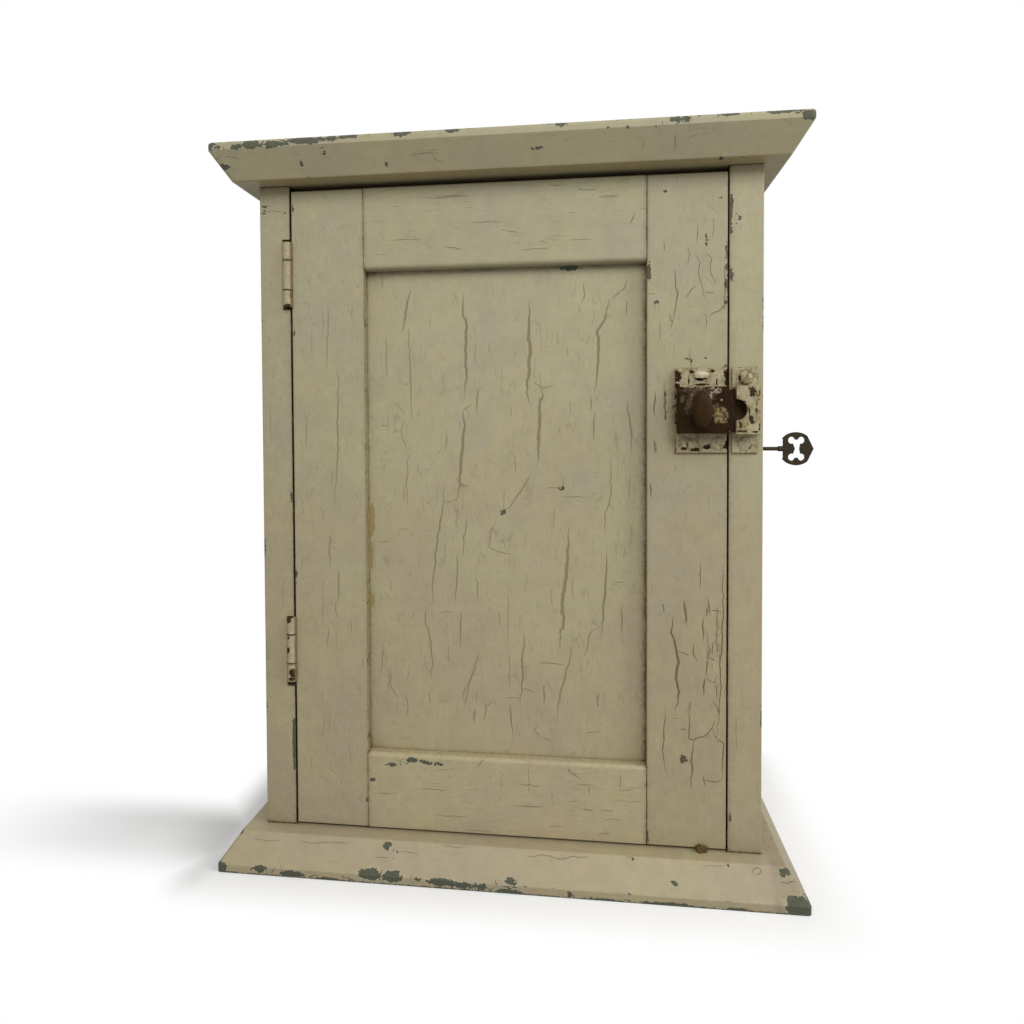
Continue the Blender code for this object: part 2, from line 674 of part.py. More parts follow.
def build_latch_bolt():
    """Bolt drawn back: a bevelled nose across the door's gap, and a flat tail with one
    slot for the spindle and one for the crank pin."""
    bolt_front = LATCH_INNER + RUNNING
    nose_start = NOSE_END - NOSE_LENGTH
    nose_back = bolt_front + NOSE_THICKNESS
    low = LATCH_LOW + LATCH_WALL + BOLT_PLAY
    high = LATCH_HIGH - LATCH_WALL - BOLT_PLAY
    outline = eased(((nose_start, bolt_front, 0), (NOSE_END, bolt_front, ARRIS),
                     (NOSE_END, nose_back - NOSE_CHAMFER, ARRIS),
                     (NOSE_END - NOSE_CHAMFER, nose_back, ARRIS), (nose_start, nose_back, 0)))
    bolt = prism("latch_bolt", outline, "Z", low, high)
    join(bolt, block("latch_bolt_tail", (LATCH_X - TAIL_REACH, bolt_front, TAIL_LOW),
                     (nose_start + OVERRUN, bolt_front + BOLT_TAIL_THICKNESS,
                      LATCH_Z + TAIL_ABOVE)))
    slot_half = SPINDLE_RADIUS + SPINDLE_PLAY
    spindle_slot = arc(LATCH_X - LATCH_TRAVEL, LATCH_Z, slot_half, 90, 270, 8)
    spindle_slot += arc(LATCH_X, LATCH_Z, slot_half, -90, 90, 8)
    pin_half = CRANK_PIN_RADIUS + CRANK_SLOT_PLAY
    pin_high = LATCH_Z + CRANK_THROW
    pin_low = pin_high + 2 * CRANK_PIN_RADIUS - CRANK_SLOT_LENGTH
    crank_slot = arc(LATCH_X, pin_high, pin_half, 0, 180, 8)
    crank_slot += arc(LATCH_X, pin_low, pin_half, 180, 360, 8)
    through = (bolt_front - OVERRUN, bolt_front + BOLT_TAIL_THICKNESS + OVERRUN)
    cut(bolt, prism("latch_bolt_spindle_slot", spindle_slot, "Y", *through),
        prism("latch_bolt_crank_slot", crank_slot, "Y", *through))
    give_finish(bolt, BROWN_IRON)
    return bolt


SPRING_THICKNESS = 0.0005
SPRING_INSET = 0.0012
SPRING_STEPS = 10


def bowed_strip(name, start, end, seat, crown, span, upright=False):
    """Flat strip spring, lengthwise in X, or in Z when it is upright. From start to end
    it bows from its seat to its crown, as half a sine wave. span holds its two edges
    in Y."""
    thickness = math.copysign(SPRING_THICKNESS, crown - seat)
    rise = crown - seat - thickness
    shares = [step / SPRING_STEPS for step in range(SPRING_STEPS + 1)]
    lower = [(start + (end - start) * share, seat + rise * math.sin(math.pi * share))
             for share in shares]
    upper = [(along, height + thickness) for along, height in reversed(lower)]
    outline = lower + upper
    if upright:
        outline = [(height, along) for along, height in outline]
    strip = prism(name, outline, "Y", *span)
    give_finish(strip, STEEL)
    return strip


def build_latch_spring():
    """Bowed spring under the bolt's tail. It holds the bolt where it is put."""
    bolt_front = LATCH_INNER + RUNNING
    return bowed_strip("latch_spring", LATCH_CASE_LEFT + LATCH_WALL + SPRING_INSET,
                       NOSE_END - NOSE_LENGTH - SPRING_INSET, LATCH_LOW + LATCH_WALL + FIT,
                       TAIL_LOW - FIT, (bolt_front, bolt_front + BOLT_TAIL_THICKNESS))


# Round-headed screws of the latch and its keep

SCREW_HEAD = 0.0046
SCREW_DOME = 0.0022
SCREW_SHANK = 0.0019
SCREW_LENGTH = 0.0130
SCREW_SLOT = 0.0009
SCREW_SLOT_DEPTH = 0.0010
SCREW_UP = 0.0215
SCREW_DOWN = 0.0223
SCREW_TOP_ACROSS = 0.0020
SCREW_LEFT_ACROSS = 0.0080
SCREW_RIGHT_ACROSS = 0.0130
KEEP_SCREW_INSET = 0.0087
LATCH_SCREWS = {"latch_screw_top": (LATCH_X + SCREW_TOP_ACROSS, LATCH_Z + SCREW_UP),
                "latch_screw_bottom_left": (LATCH_X - SCREW_LEFT_ACROSS, LATCH_Z - SCREW_DOWN),
                "latch_screw_bottom_right": (LATCH_X + SCREW_RIGHT_ACROSS, LATCH_Z - SCREW_DOWN)}
SCREW_TURNS = (8, 52, 115, 62, 20)


def screw(name, centre, turn):
    """Slotted round-head screw. Its shank stands in the wood through the plate."""
    x, z = centre
    seat = FRONT - FIT - LATCH_PLATE_THICKNESS - FIT
    profile = [(seat - SCREW_DOME * math.cos(math.radians(angle)),
                SCREW_HEAD * math.sin(math.radians(angle))) for angle in (0, 25, 50, 70, 90)]
    profile[0] = (profile[0][0], 0)
    profile += [(seat, SCREW_SHANK), (FRONT + SCREW_LENGTH - 2 * SCREW_SHANK, SCREW_SHANK),
                (FRONT + SCREW_LENGTH, 0)]
    body = turned(name, profile, (x, 0, z), "Y", 20)
    across = Vector((math.cos(math.radians(turn)), math.sin(math.radians(turn))))
    side = Vector((-across.y, across.x)) * SCREW_SLOT / 2
    reach = across * (SCREW_HEAD + OVERRUN)
    corners = (reach + side, side - reach, -reach - side, reach - side)
    slot = prism(f"{name}_slot", [(x + corner.x, z + corner.y) for corner in corners], "Y",
                 seat - SCREW_DOME - OVERRUN, seat - SCREW_DOME + SCREW_SLOT_DEPTH)
    cut(body, slot)
    give_finish(body, PAINTED_IRON)
    return body


def pilot_holes(obj, screws):
    """Holes in the wood that the screws' shanks stand in."""
    for name, centre in screws.items():
        cut(obj, rod(f"{name}_pilot", "Y", centre, SCREW_SHANK + FIT, FRONT - OVERRUN,
                     FRONT + SCREW_LENGTH + FIT, 20))


# Keep on the right side board

KEEP_INSET = 0.0018
KEEP_WIDTH = 0.0167
KEEP_LIP = 0.0009
KEEP_PROUD = 0.0125
KEEP_HEIGHT = 0.0318
KEEP_WALL = 0.0018
KEEP_THUMB_RADIUS = 0.0070
KEEP_LEFT = OPENING + KEEP_INSET
KEEP_RIGHT = KEEP_LEFT + KEEP_WIDTH
KEEP_MOUTH = KEEP_LEFT + KEEP_LIP
KEEP_SCREWS = {"keep_screw_top": (KEEP_LEFT + KEEP_SCREW_INSET, LATCH_Z + SCREW_UP),
               "keep_screw_bottom": (KEEP_LEFT + KEEP_SCREW_INSET, LATCH_Z - SCREW_DOWN)}


def build_latch_keep():
    """Plate with a raised hollow box that the bolt's nose enters. The box has a half
    round cut in its front, at the mouth."""
    low = LATCH_Z - KEEP_HEIGHT / 2 - BOLT_PLAY
    high = low + KEEP_HEIGHT
    keep = block("latch_keep", (KEEP_LEFT, FRONT - FIT - LATCH_PLATE_THICKNESS, LATCH_PLATE_LOW),
                 (KEEP_RIGHT, FRONT - FIT, LATCH_PLATE_HIGH), LATCH_CORNER)
    join(keep, block("latch_keep_box", (KEEP_MOUTH, FRONT - KEEP_PROUD, low),
                     (KEEP_RIGHT - FIT, FRONT - 2 * FIT, high), LATCH_CORNER))
    cut(keep,
        block("latch_keep_hollow",
              (KEEP_MOUTH - OVERRUN, FRONT - KEEP_PROUD + KEEP_WALL, low + KEEP_WALL),
              (KEEP_RIGHT - KEEP_WALL, FRONT - FIT - LATCH_PLATE_THICKNESS, high - KEEP_WALL)),
        rod("latch_keep_thumb_cut", "Y", (KEEP_MOUTH, LATCH_Z), KEEP_THUMB_RADIUS,
            FRONT - KEEP_PROUD - OVERRUN, FRONT - KEEP_PROUD + KEEP_WALL + OVERRUN / 2))
    for name, (x, z) in KEEP_SCREWS.items():
        cut(keep, rod(f"{name}_hole", "Y", (x, z), SCREW_SHANK + FIT,
                      FRONT - LATCH_PLATE_THICKNESS - OVERRUN, FRONT + OVERRUN))
    give_finish(keep, PAINTED_IRON)


# Lock on the inside of the right side board

LOCK_THICKNESS = 0.0115
LOCK_SETBACK = 0.0214
LOCK_DEPTH = 0.0290
LOCK_BELOW_KEY = 0.0225
LOCK_ABOVE_KEY = 0.0295
LOCK_WALL = 0.0015
SELVEDGE = 0.0020
CAP_THICKNESS = 0.0013
EAR_LENGTH = 0.0090
EAR_HOLE = 0.0018
LOCK_RIGHT = OPENING - FIT
LOCK_LEFT = LOCK_RIGHT - LOCK_THICKNESS
LOCK_FRONT = FRONT + LOCK_SETBACK
LOCK_BACK = LOCK_FRONT + LOCK_DEPTH
LOCK_LOW = KEY_Z - LOCK_BELOW_KEY
LOCK_HIGH = KEY_Z + LOCK_ABOVE_KEY

KEY_SHAFT = 0.00135
BIT_REACH = 0.0084
BIT_THICKNESS = 0.0020
KEYHOLE_PLAY = 0.0006


def keyhole(name, start, end):
    """Cutters for the key's way in: a round hole with a slot below it for the bit."""
    hole = rod(f"{name}_keyhole", "X", (KEY_Y, KEY_Z), KEY_SHAFT + KEYHOLE_PLAY, start, end)
    half = BIT_THICKNESS / 2 + KEYHOLE_PLAY
    slot = block(f"{name}_keyhole_slot", (start, KEY_Y - half, KEY_Z - BIT_REACH - KEYHOLE_PLAY),
                 (end, KEY_Y + half, KEY_Z))
    return hole, slot


LINK_LEG_GAP = 0.0038
LINK_LEG = 0.0014
LINK_BAR = 0.0020
LINK_HEIGHT = 0.0030
LINK_ABOVE_KEY = 0.0185
LINK_Z = KEY_Z + LINK_ABOVE_KEY
LINK_PLATE_THICKNESS = 0.0015
LINK_PLATE_HALF_HEIGHT = 0.0130
LINK_PLATE_WIDTH = 0.0150
SLOT_PLAY = 0.0010


def build_lock_case():
    """Pressed case with a slot in its front for the link, two ears for its screws, and
    a bearing hole for the tip of the key."""
    case = block("lock_case", (LOCK_LEFT, LOCK_FRONT, LOCK_LOW),
                 (LOCK_RIGHT, LOCK_BACK, LOCK_HIGH), LATCH_CORNER)
    join(case, block("lock_case_ears", (LOCK_RIGHT - CAP_THICKNESS, LOCK_FRONT + SELVEDGE,
                                        LOCK_LOW - EAR_LENGTH),
                     (LOCK_RIGHT - FIT / 2, LOCK_BACK - SELVEDGE, LOCK_HIGH + EAR_LENGTH)))
    cut(case,
        block("lock_case_hollow",
              (LOCK_LEFT + LOCK_WALL, LOCK_FRONT + SELVEDGE, LOCK_LOW + LOCK_WALL),
              (LOCK_RIGHT + OVERRUN, LOCK_BACK - LOCK_WALL, LOCK_HIGH - LOCK_WALL)),
        block("lock_case_link_slot",
              (LOCK_LEFT + LOCK_WALL, LOCK_FRONT - OVERRUN, LINK_Z - LINK_HEIGHT / 2 - SLOT_PLAY),
              (LOCK_RIGHT - LOCK_WALL / 2, LOCK_FRONT + SELVEDGE + OVERRUN / 2,
               LINK_Z + LINK_HEIGHT / 2 + SLOT_PLAY)),
        rod("lock_case_bearing", "X", (KEY_Y, KEY_Z), KEY_SHAFT + FIT, LOCK_LEFT - OVERRUN,
            LOCK_LEFT + LOCK_WALL + OVERRUN))
    middle = (LOCK_FRONT + LOCK_BACK) / 2
    for word, z in (("low", LOCK_LOW - EAR_LENGTH / 2), ("high", LOCK_HIGH + EAR_LENGTH / 2)):
        cut(case, rod(f"lock_case_ear_hole_{word}", "X", (middle, z), EAR_HOLE,
                      LOCK_RIGHT - CAP_THICKNESS - OVERRUN, LOCK_RIGHT + OVERRUN, 16))
    give_finish(case, STEEL)


def build_lock_cap():
    """Plate that closes the lock against the side board, with the keyhole in it."""
    cap = block("lock_cap", (LOCK_RIGHT - CAP_THICKNESS, LOCK_FRONT + SELVEDGE + FIT,
                             LOCK_LOW + LOCK_WALL + FIT),
                (LOCK_RIGHT, LOCK_BACK - LOCK_WALL - FIT, LOCK_HIGH - LOCK_WALL - FIT))
    cut(cap, *keyhole("lock_cap", LOCK_RIGHT - CAP_THICKNESS - OVERRUN, LOCK_RIGHT + OVERRUN))
    give_finish(cap, STEEL)


LOCK_TRAVEL = 0.0090
LOCK_BOLT_THICKNESS = 0.0030
LOCK_BOLT_GAP = 0.0027
LOCK_BOLT_WIDTH = 0.0092
LOCK_FINGER_WIDTH = 0.0040
LOCK_BOLT_BELOW = 0.0145
LOCK_BOLT_ABOVE = 0.0035
LOCK_FINGER_ABOVE = 0.0158
TALON_BELOW = 0.0102
TALON_ABOVE = 0.0012
TALON_WALL = 0.0054
LOCK_SPRING_BELOW = 0.0135
LOCK_SPRING_LENGTH = 0.0165
LOCK_BOLT_LEFT = LOCK_LEFT + LOCK_WALL + LOCK_BOLT_GAP
LOCK_BOLT_FRONT = LOCK_FRONT + SELVEDGE + RUNNING


def build_lock_bolt():
    """Bolt drawn down: a bar with the talon that the key's bit turns in, and a finger
    that rises through the link."""
    front = LOCK_BOLT_FRONT
    back = front + LOCK_BOLT_WIDTH
    outline = [(front, KEY_Z - LOCK_BOLT_BELOW), (back, KEY_Z - LOCK_BOLT_BELOW),
               (back, KEY_Z - TALON_BELOW), (front + TALON_WALL, KEY_Z - TALON_BELOW),
               (front + TALON_WALL, KEY_Z + TALON_ABOVE), (back, KEY_Z + TALON_ABOVE),
               (back, KEY_Z + LOCK_BOLT_ABOVE), (front + LOCK_FINGER_WIDTH, KEY_Z + LOCK_BOLT_ABOVE),
               (front + LOCK_FINGER_WIDTH, KEY_Z + LOCK_FINGER_ABOVE),
               (front, KEY_Z + LOCK_FINGER_ABOVE)]
    bolt = prism("lock_bolt", outline, "X", LOCK_BOLT_LEFT, LOCK_BOLT_LEFT + LOCK_BOLT_THICKNESS)
    give_finish(bolt, STEEL)
    return bolt


def build_lock_spring():
    """Bowed spring between the lock's cap and the bolt. It holds the bolt where the
    key leaves it."""
    return bowed_strip("lock_spring", KEY_Z - LOCK_SPRING_BELOW,
                       KEY_Z - LOCK_SPRING_BELOW + LOCK_SPRING_LENGTH,
                       LOCK_RIGHT - CAP_THICKNESS - FIT,
                       LOCK_BOLT_LEFT + LOCK_BOLT_THICKNESS + FIT,
                       (LOCK_BOLT_FRONT + RUNNING, LOCK_BOLT_FRONT + TALON_WALL - RUNNING),
                       upright=True)


def build_link_plate():
    """Plate on the back of the door with the loop that enters the lock."""
    plate_back = DOOR_BACK + FIT + LINK_PLATE_THICKNESS
    bolt_right = LOCK_BOLT_LEFT + LOCK_BOLT_THICKNESS
    middle = (LOCK_BOLT_LEFT + bolt_right) / 2
    half_gap = LINK_LEG_GAP / 2
    half = half_gap + LINK_LEG
    bar_front = LOCK_BOLT_FRONT + LOCK_FINGER_WIDTH + RUNNING
    low = LINK_Z - LINK_HEIGHT / 2
    high = LINK_Z + LINK_HEIGHT / 2
    plate = block("link_plate", (middle + half - LINK_PLATE_WIDTH, DOOR_BACK + FIT,
                                 LINK_Z - LINK_PLATE_HALF_HEIGHT),
                  (middle + half, plate_back, LINK_Z + LINK_PLATE_HALF_HEIGHT), ARRIS / 2)
    loop = [(middle - half, plate_back - FIT), (middle - half, bar_front + LINK_BAR),
            (middle + half, bar_front + LINK_BAR), (middle + half, plate_back - FIT),
            (middle + half_gap, plate_back - FIT), (middle + half_gap, bar_front),
            (middle - half_gap, bar_front), (middle - half_gap, plate_back - FIT)]
    join(plate, prism("link_plate_loop", loop, "Z", low, high))
    give_finish(plate, STEEL)
    return plate


# Key, with its bow outside the right side board

BIT_WIDTH = 0.0046
BIT_SETBACK = 0.0010
KEY_COLLAR = 0.0019
KEY_COLLAR_LENGTH = 0.0035
BOW_STANDOUT = 0.0220
BOW_CUT = 0.0087
BOW_RADIUS = 0.0118
BOW_TIP_REACH = 0.0119
BOW_THICKNESS = 0.0024
BOW_TIP_HALF = 0.0090
LOBE_SHIFT = 0.0003
LOBE_OUT = 0.0033
LOBE_UP = 0.0060
LOBE_RADIUS = 0.0025
WAIST_SHIFT = 0.0009
WAIST_HALF = 0.0017
CUSP_UP = 0.0065
EAR = 0.0006
BOW_LEFT = HALF + BOW_STANDOUT
BOW_CENTRE = BOW_LEFT + BOW_CUT
BOW_TIP = BOW_CENTRE + BOW_TIP_REACH
KEY_COLLAR_START = BOW_LEFT - KEY_COLLAR_LENGTH
LOBE_CENTRE = BOW_CENTRE + LOBE_SHIFT
WAIST_CENTRE = BOW_CENTRE + WAIST_SHIFT


def bow_outline():
    """Outline of the bow in X and Z: a disc cut straight towards the shaft, with a small
    ear at both ends of the cut and a pointed tip."""
    cut_angle = math.degrees(math.acos((BOW_LEFT - BOW_CENTRE) / BOW_RADIUS))
    tip_angle = math.degrees(math.asin(BOW_TIP_HALF / BOW_RADIUS))
    ear_height = BOW_RADIUS * math.sin(math.radians(cut_angle))
    outline = [(BOW_TIP, KEY_Z)]
    outline += arc(BOW_CENTRE, KEY_Z, BOW_RADIUS, tip_angle, cut_angle, 14)
    outline += [(BOW_LEFT - EAR, KEY_Z + ear_height - EAR), (BOW_LEFT, KEY_Z + ear_height - 2 * EAR),
                (BOW_LEFT, KEY_Z - ear_height + 2 * EAR), (BOW_LEFT - EAR, KEY_Z - ear_height + EAR)]
    outline += arc(BOW_CENTRE, KEY_Z, BOW_RADIUS, -cut_angle, -tip_angle, 14)
    return outline


def build_key():
    """Key with its bit down. The bow's opening is four round lobes joined by a waist,
    with a cusp between the lobes at both ends."""
    centre = (0, KEY_Y, KEY_Z)
    shaft_start = LOCK_LEFT + FIT
    profile = [(shaft_start, 0), (shaft_start, KEY_SHAFT),
               (KEY_COLLAR_START, KEY_SHAFT), (KEY_COLLAR_START, KEY_COLLAR),
               (BOW_LEFT, KEY_COLLAR), (BOW_LEFT, KEY_SHAFT),
               (BOW_LEFT + OVERRUN, KEY_SHAFT), (BOW_LEFT + OVERRUN, 0)]
    key = turned("key", profile, centre, "X", 24)
    bow = prism("key_bow", bow_outline(), "Y", KEY_Y - BOW_THICKNESS / 2,
                KEY_Y + BOW_THICKNESS / 2)
    bit_start = LOCK_BOLT_LEFT - BIT_SETBACK
    bit = block("key_bit", (bit_start, KEY_Y - BIT_THICKNESS / 2, KEY_Z - BIT_REACH),
                (bit_start + BIT_WIDTH, KEY_Y + BIT_THICKNESS / 2, KEY_Z))
    join(key, bow, bit)
    through = (KEY_Y - BOW_THICKNESS, KEY_Y + BOW_THICKNESS)
    left, right = LOBE_CENTRE - LOBE_OUT, LOBE_CENTRE + LOBE_OUT
    waist = [(WAIST_CENTRE - WAIST_HALF, KEY_Z), (left, KEY_Z - LOBE_UP),
             (LOBE_CENTRE, KEY_Z - CUSP_UP), (right, KEY_Z - LOBE_UP),
             (WAIST_CENTRE + WAIST_HALF, KEY_Z), (right, KEY_Z + LOBE_UP),
             (LOBE_CENTRE, KEY_Z + CUSP_UP), (left, KEY_Z + LOBE_UP)]
    cut(key, prism("key_bow_waist", waist, "Y", *through))
    for across, up in ((-1, -1), (-1, 1), (1, -1), (1, 1)):
        cut(key, rod(f"key_bow_lobe_{across}_{up}", "Y",
                     (LOBE_CENTRE + across * LOBE_OUT, KEY_Z + up * LOBE_UP), LOBE_RADIUS,
                     *through, 20))
    give_finish(key, STEEL)
    return key


def build_cabinet():
    """Put the whole cabinet together, with everything that moves on its own axis."""
    clear_scene()
    build_planks()
    build_sides()
    build_back()
    build_shelves()
    build_door_stop()

    door_axis = joint_axis("door_axis", (HINGE_X, HINGE_Y, 0))
    on_door = build_door_frame()
    on_door += build_hinges()
    on_door.append(build_latch_case())
    on_door.append(build_latch_spring())
    turns = iter(SCREW_TURNS)
    for name, centre in LATCH_SCREWS.items():
        on_door.append(screw(name, centre, next(turns)))
    on_door.append(build_link_plate())
    for piece in on_door:
        turn_about(piece, (HINGE_X, HINGE_Y, 0), door_axis)
    pilot_holes(bpy.data.objects["door_stile_right"], LATCH_SCREWS)

    turn_about(build_latch_knob(), (LATCH_X, FRONT - LATCH_CASE_PROUD, LATCH_Z))
    turn_about(build_latch_bolt(), (NOSE_END, FRONT - LATCH_CASE_PROUD, LATCH_Z))

    build_latch_keep()
    for name, centre in KEEP_SCREWS.items():
        screw(name, centre, next(turns))
    pilot_holes(bpy.data.objects["side_right"], KEEP_SCREWS)

    build_lock_case()
    build_lock_cap()
    build_lock_spring()
    turn_about(build_lock_bolt(), (LOCK_BOLT_LEFT, LOCK_BOLT_FRONT, KEY_Z))
    turn_about(build_key(), (LOCK_RIGHT, KEY_Y, KEY_Z))


build_cabinet()
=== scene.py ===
"""Looks of a small painted pine cupboard with one panelled door, built round its fixed frame.

Lengths are in metres. The lists of splits, chips and bare places are in mm, and so are places in
the materials. X runs to the right, Y to the back and Z up. The sections follow the cupboard as it
is put together: carcass, door, fittings, then the room.
"""

import bpy
import numpy as np
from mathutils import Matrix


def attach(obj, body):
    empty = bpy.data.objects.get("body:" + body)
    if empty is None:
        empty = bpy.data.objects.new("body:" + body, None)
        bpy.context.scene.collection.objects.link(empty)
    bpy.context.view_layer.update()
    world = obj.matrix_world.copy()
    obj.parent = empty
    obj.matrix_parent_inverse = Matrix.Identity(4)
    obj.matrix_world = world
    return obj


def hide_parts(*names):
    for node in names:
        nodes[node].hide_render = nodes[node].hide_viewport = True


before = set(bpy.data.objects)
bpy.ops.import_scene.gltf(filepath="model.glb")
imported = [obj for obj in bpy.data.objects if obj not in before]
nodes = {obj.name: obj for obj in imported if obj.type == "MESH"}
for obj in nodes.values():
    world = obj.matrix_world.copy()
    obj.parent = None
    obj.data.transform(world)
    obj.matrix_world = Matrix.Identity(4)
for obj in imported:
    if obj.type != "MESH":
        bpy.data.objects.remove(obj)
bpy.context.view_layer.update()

MM = 0.001

# Base board. One pine plank, 24 mm thick. Its front and both ends are splayed: an upright
# fillet at the floor, then a slope up to the carcass. Old cream paint over a blue-green coat,
# which shows along the bottom edge and at the corners where the cream has been knocked off.

CARCASS_HALF = 0.175
CARCASS_FRONT = -0.085
CARCASS_BACK = 0.111
BASE_SECTION = ((0.0, 0.0260), (0.0056, 0.0260), (0.0238, 0.0131))
BASE_RADII = (0.5 * MM, 1.4 * MM, 1.6 * MM)
CREAM = (0.374, 0.324, 0.197, 1)
CREAM_GREY = (0.356, 0.314, 0.206, 1)
CREAM_GREEN = (0.374, 0.338, 0.201, 1)
# Tints for the paint low down and high up: painted light, warmer near the floor and cooler above.
WARM_LIGHT_LOW = (1.012, 0.976, 0.970, 1)
COOL_LIGHT_HIGH = (0.990, 1.020, 1.024, 1)
BLUER_TINT = (0.994, 1.0, 1.026, 1)
YELLOWER_TINT = (1.006, 1.0, 0.974, 1)
OLD_GREEN = (0.066, 0.098, 0.082, 1)
OLD_WOOD = (0.092, 0.084, 0.040, 1)
OCHRE = (0.262, 0.205, 0.070, 1)
SPLIT_FLOOR = (0.225, 0.193, 0.108, 1)
BROWN_DIRT = (0.150, 0.115, 0.052, 1)
CHIP_EDGE_SHADE = (0.046, 0.040, 0.022, 1)
SOOT_AND_GAP_SHADE = (0.024, 0.012, 0.0045, 1)
HIGHLIGHT_CREAM = (0.440, 0.395, 0.265, 1)
GRAIN_UPRIGHT = (1.0, 0.35, 0.10)
GRAIN_LEVEL = (0.10, 0.35, 1.0)
FAR = 1e3


class Wire:
    """What a shader node's output carries. A sum on wires adds the node that works it out."""

    def __init__(self, socket):
        self.socket = socket

    def __add__(self, other):
        return reckon("ADD", self, other)

    def __sub__(self, other):
        return reckon("SUBTRACT", self, other)

    def __mul__(self, other):
        return reckon("MULTIPLY", self, other)

    def __pow__(self, other):
        return reckon("POWER", self, other)

    def __abs__(self):
        return reckon("ABSOLUTE", self)


def set_socket(socket, value):
    """Give an input a value or a wire, and leave it as it is for None."""
    if isinstance(value, Wire):
        socket.id_data.links.new(value.socket, socket)
    elif value is not None:
        socket.default_value = value


def fill(sockets, values):
    """Give inputs their values or wires by name, or by identifier where names repeat."""
    keyed = {key: socket for socket in sockets for key in (socket.name, socket.identifier)}
    for label, value in values.items():
        set_socket(keyed[label], value)


def node(kind, *inputs, tree=None, named=None, **settings):
    """Add a shader node, to the tree of its first wire unless a tree is given, and return its outputs
    as wires by name. Its inputs come in order, or by name."""
    named = named or {}
    wires = [value for value in (*inputs, *named.values()) if isinstance(value, Wire)]
    tree = tree or wires[0].socket.id_data
    made = tree.nodes.new("ShaderNode" + kind)
    for key, value in settings.items():
        setattr(made, key, value)
    for socket, value in zip(made.inputs, inputs):
        set_socket(socket, value)
    fill(made.inputs, named)
    return {key: Wire(socket) for socket in made.outputs for key in (socket.name, socket.identifier)}


def is_number(value):
    """Whether a value, or what a wire carries, is one number and no vector or colour."""
    return value.socket.type == "VALUE" if isinstance(value, Wire) else np.isscalar(value)


def reckon(operation, *inputs):
    """Result of one sum on numbers, or on vectors and colours. A vector times a number is scaled."""
    if all(is_number(value) for value in inputs):
        return node("Math", *inputs, operation=operation)["Value"]
    if operation == "MULTIPLY" and any(is_number(value) for value in inputs):
        arrow, factor = sorted(inputs, key=is_number)
        return node("VectorMath", arrow, None, None, factor, operation="SCALE")["Vector"]
    return node("VectorMath", *inputs, operation=operation)["Vector"]


def larger(first, second):
    """The larger of two numbers."""
    return reckon("MAXIMUM", first, second)


def length_of(arrow):
    """Length of a vector."""
    return node("VectorMath", arrow, operation="LENGTH")["Value"]


def blend(share, first, second):
    """Colour between two colours."""
    named = {"Factor_Float": share, "A_Color": first, "B_Color": second}
    return node("Mix", named=named, data_type="RGBA", clamp_factor=True)["Result_Color"]


def ramp(value, low, high, start=0.0, end=1.0):
    """Smooth step of a number from start, at low, to end, at high."""
    return node("MapRange", value, low, high, start, end, interpolation_type="SMOOTHSTEP")["Result"]


def speckle(place, scale, detail=3.0, rough=0.55):
    """Soft noise between about 0 and 1 at a place in mm."""
    return node("TexNoise", place, None, scale, detail, rough)["Fac"]


def uneven(noise, low, high):
    """Noise stretched to run from low to high."""
    return ramp(noise, 0.3, 0.7, low, high)


def new_group(name, inputs, outputs):
    """Empty group of shader nodes: its tree, its inputs as wires and its output sockets. inputs gives
    each input's value, which is a number, a vector or a colour. All outputs but Color are numbers."""
    tree = bpy.data.node_groups.new(name, "ShaderNodeTree")
    for label, value in inputs.items():
        kind = {1: "Float", 3: "Vector", 4: "Color"}[np.size(value)]
        socket = tree.interface.new_socket(label, in_out="INPUT", socket_type="NodeSocket" + kind)
        socket.default_value = value
    for label in outputs:
        kind = "Color" if label == "Color" else "Float"
        tree.interface.new_socket(label, in_out="OUTPUT", socket_type="NodeSocket" + kind)
    given = {socket.name: Wire(socket) for socket in tree.nodes.new("NodeGroupInput").outputs}
    return tree, given, tree.nodes.new("NodeGroupOutput").inputs


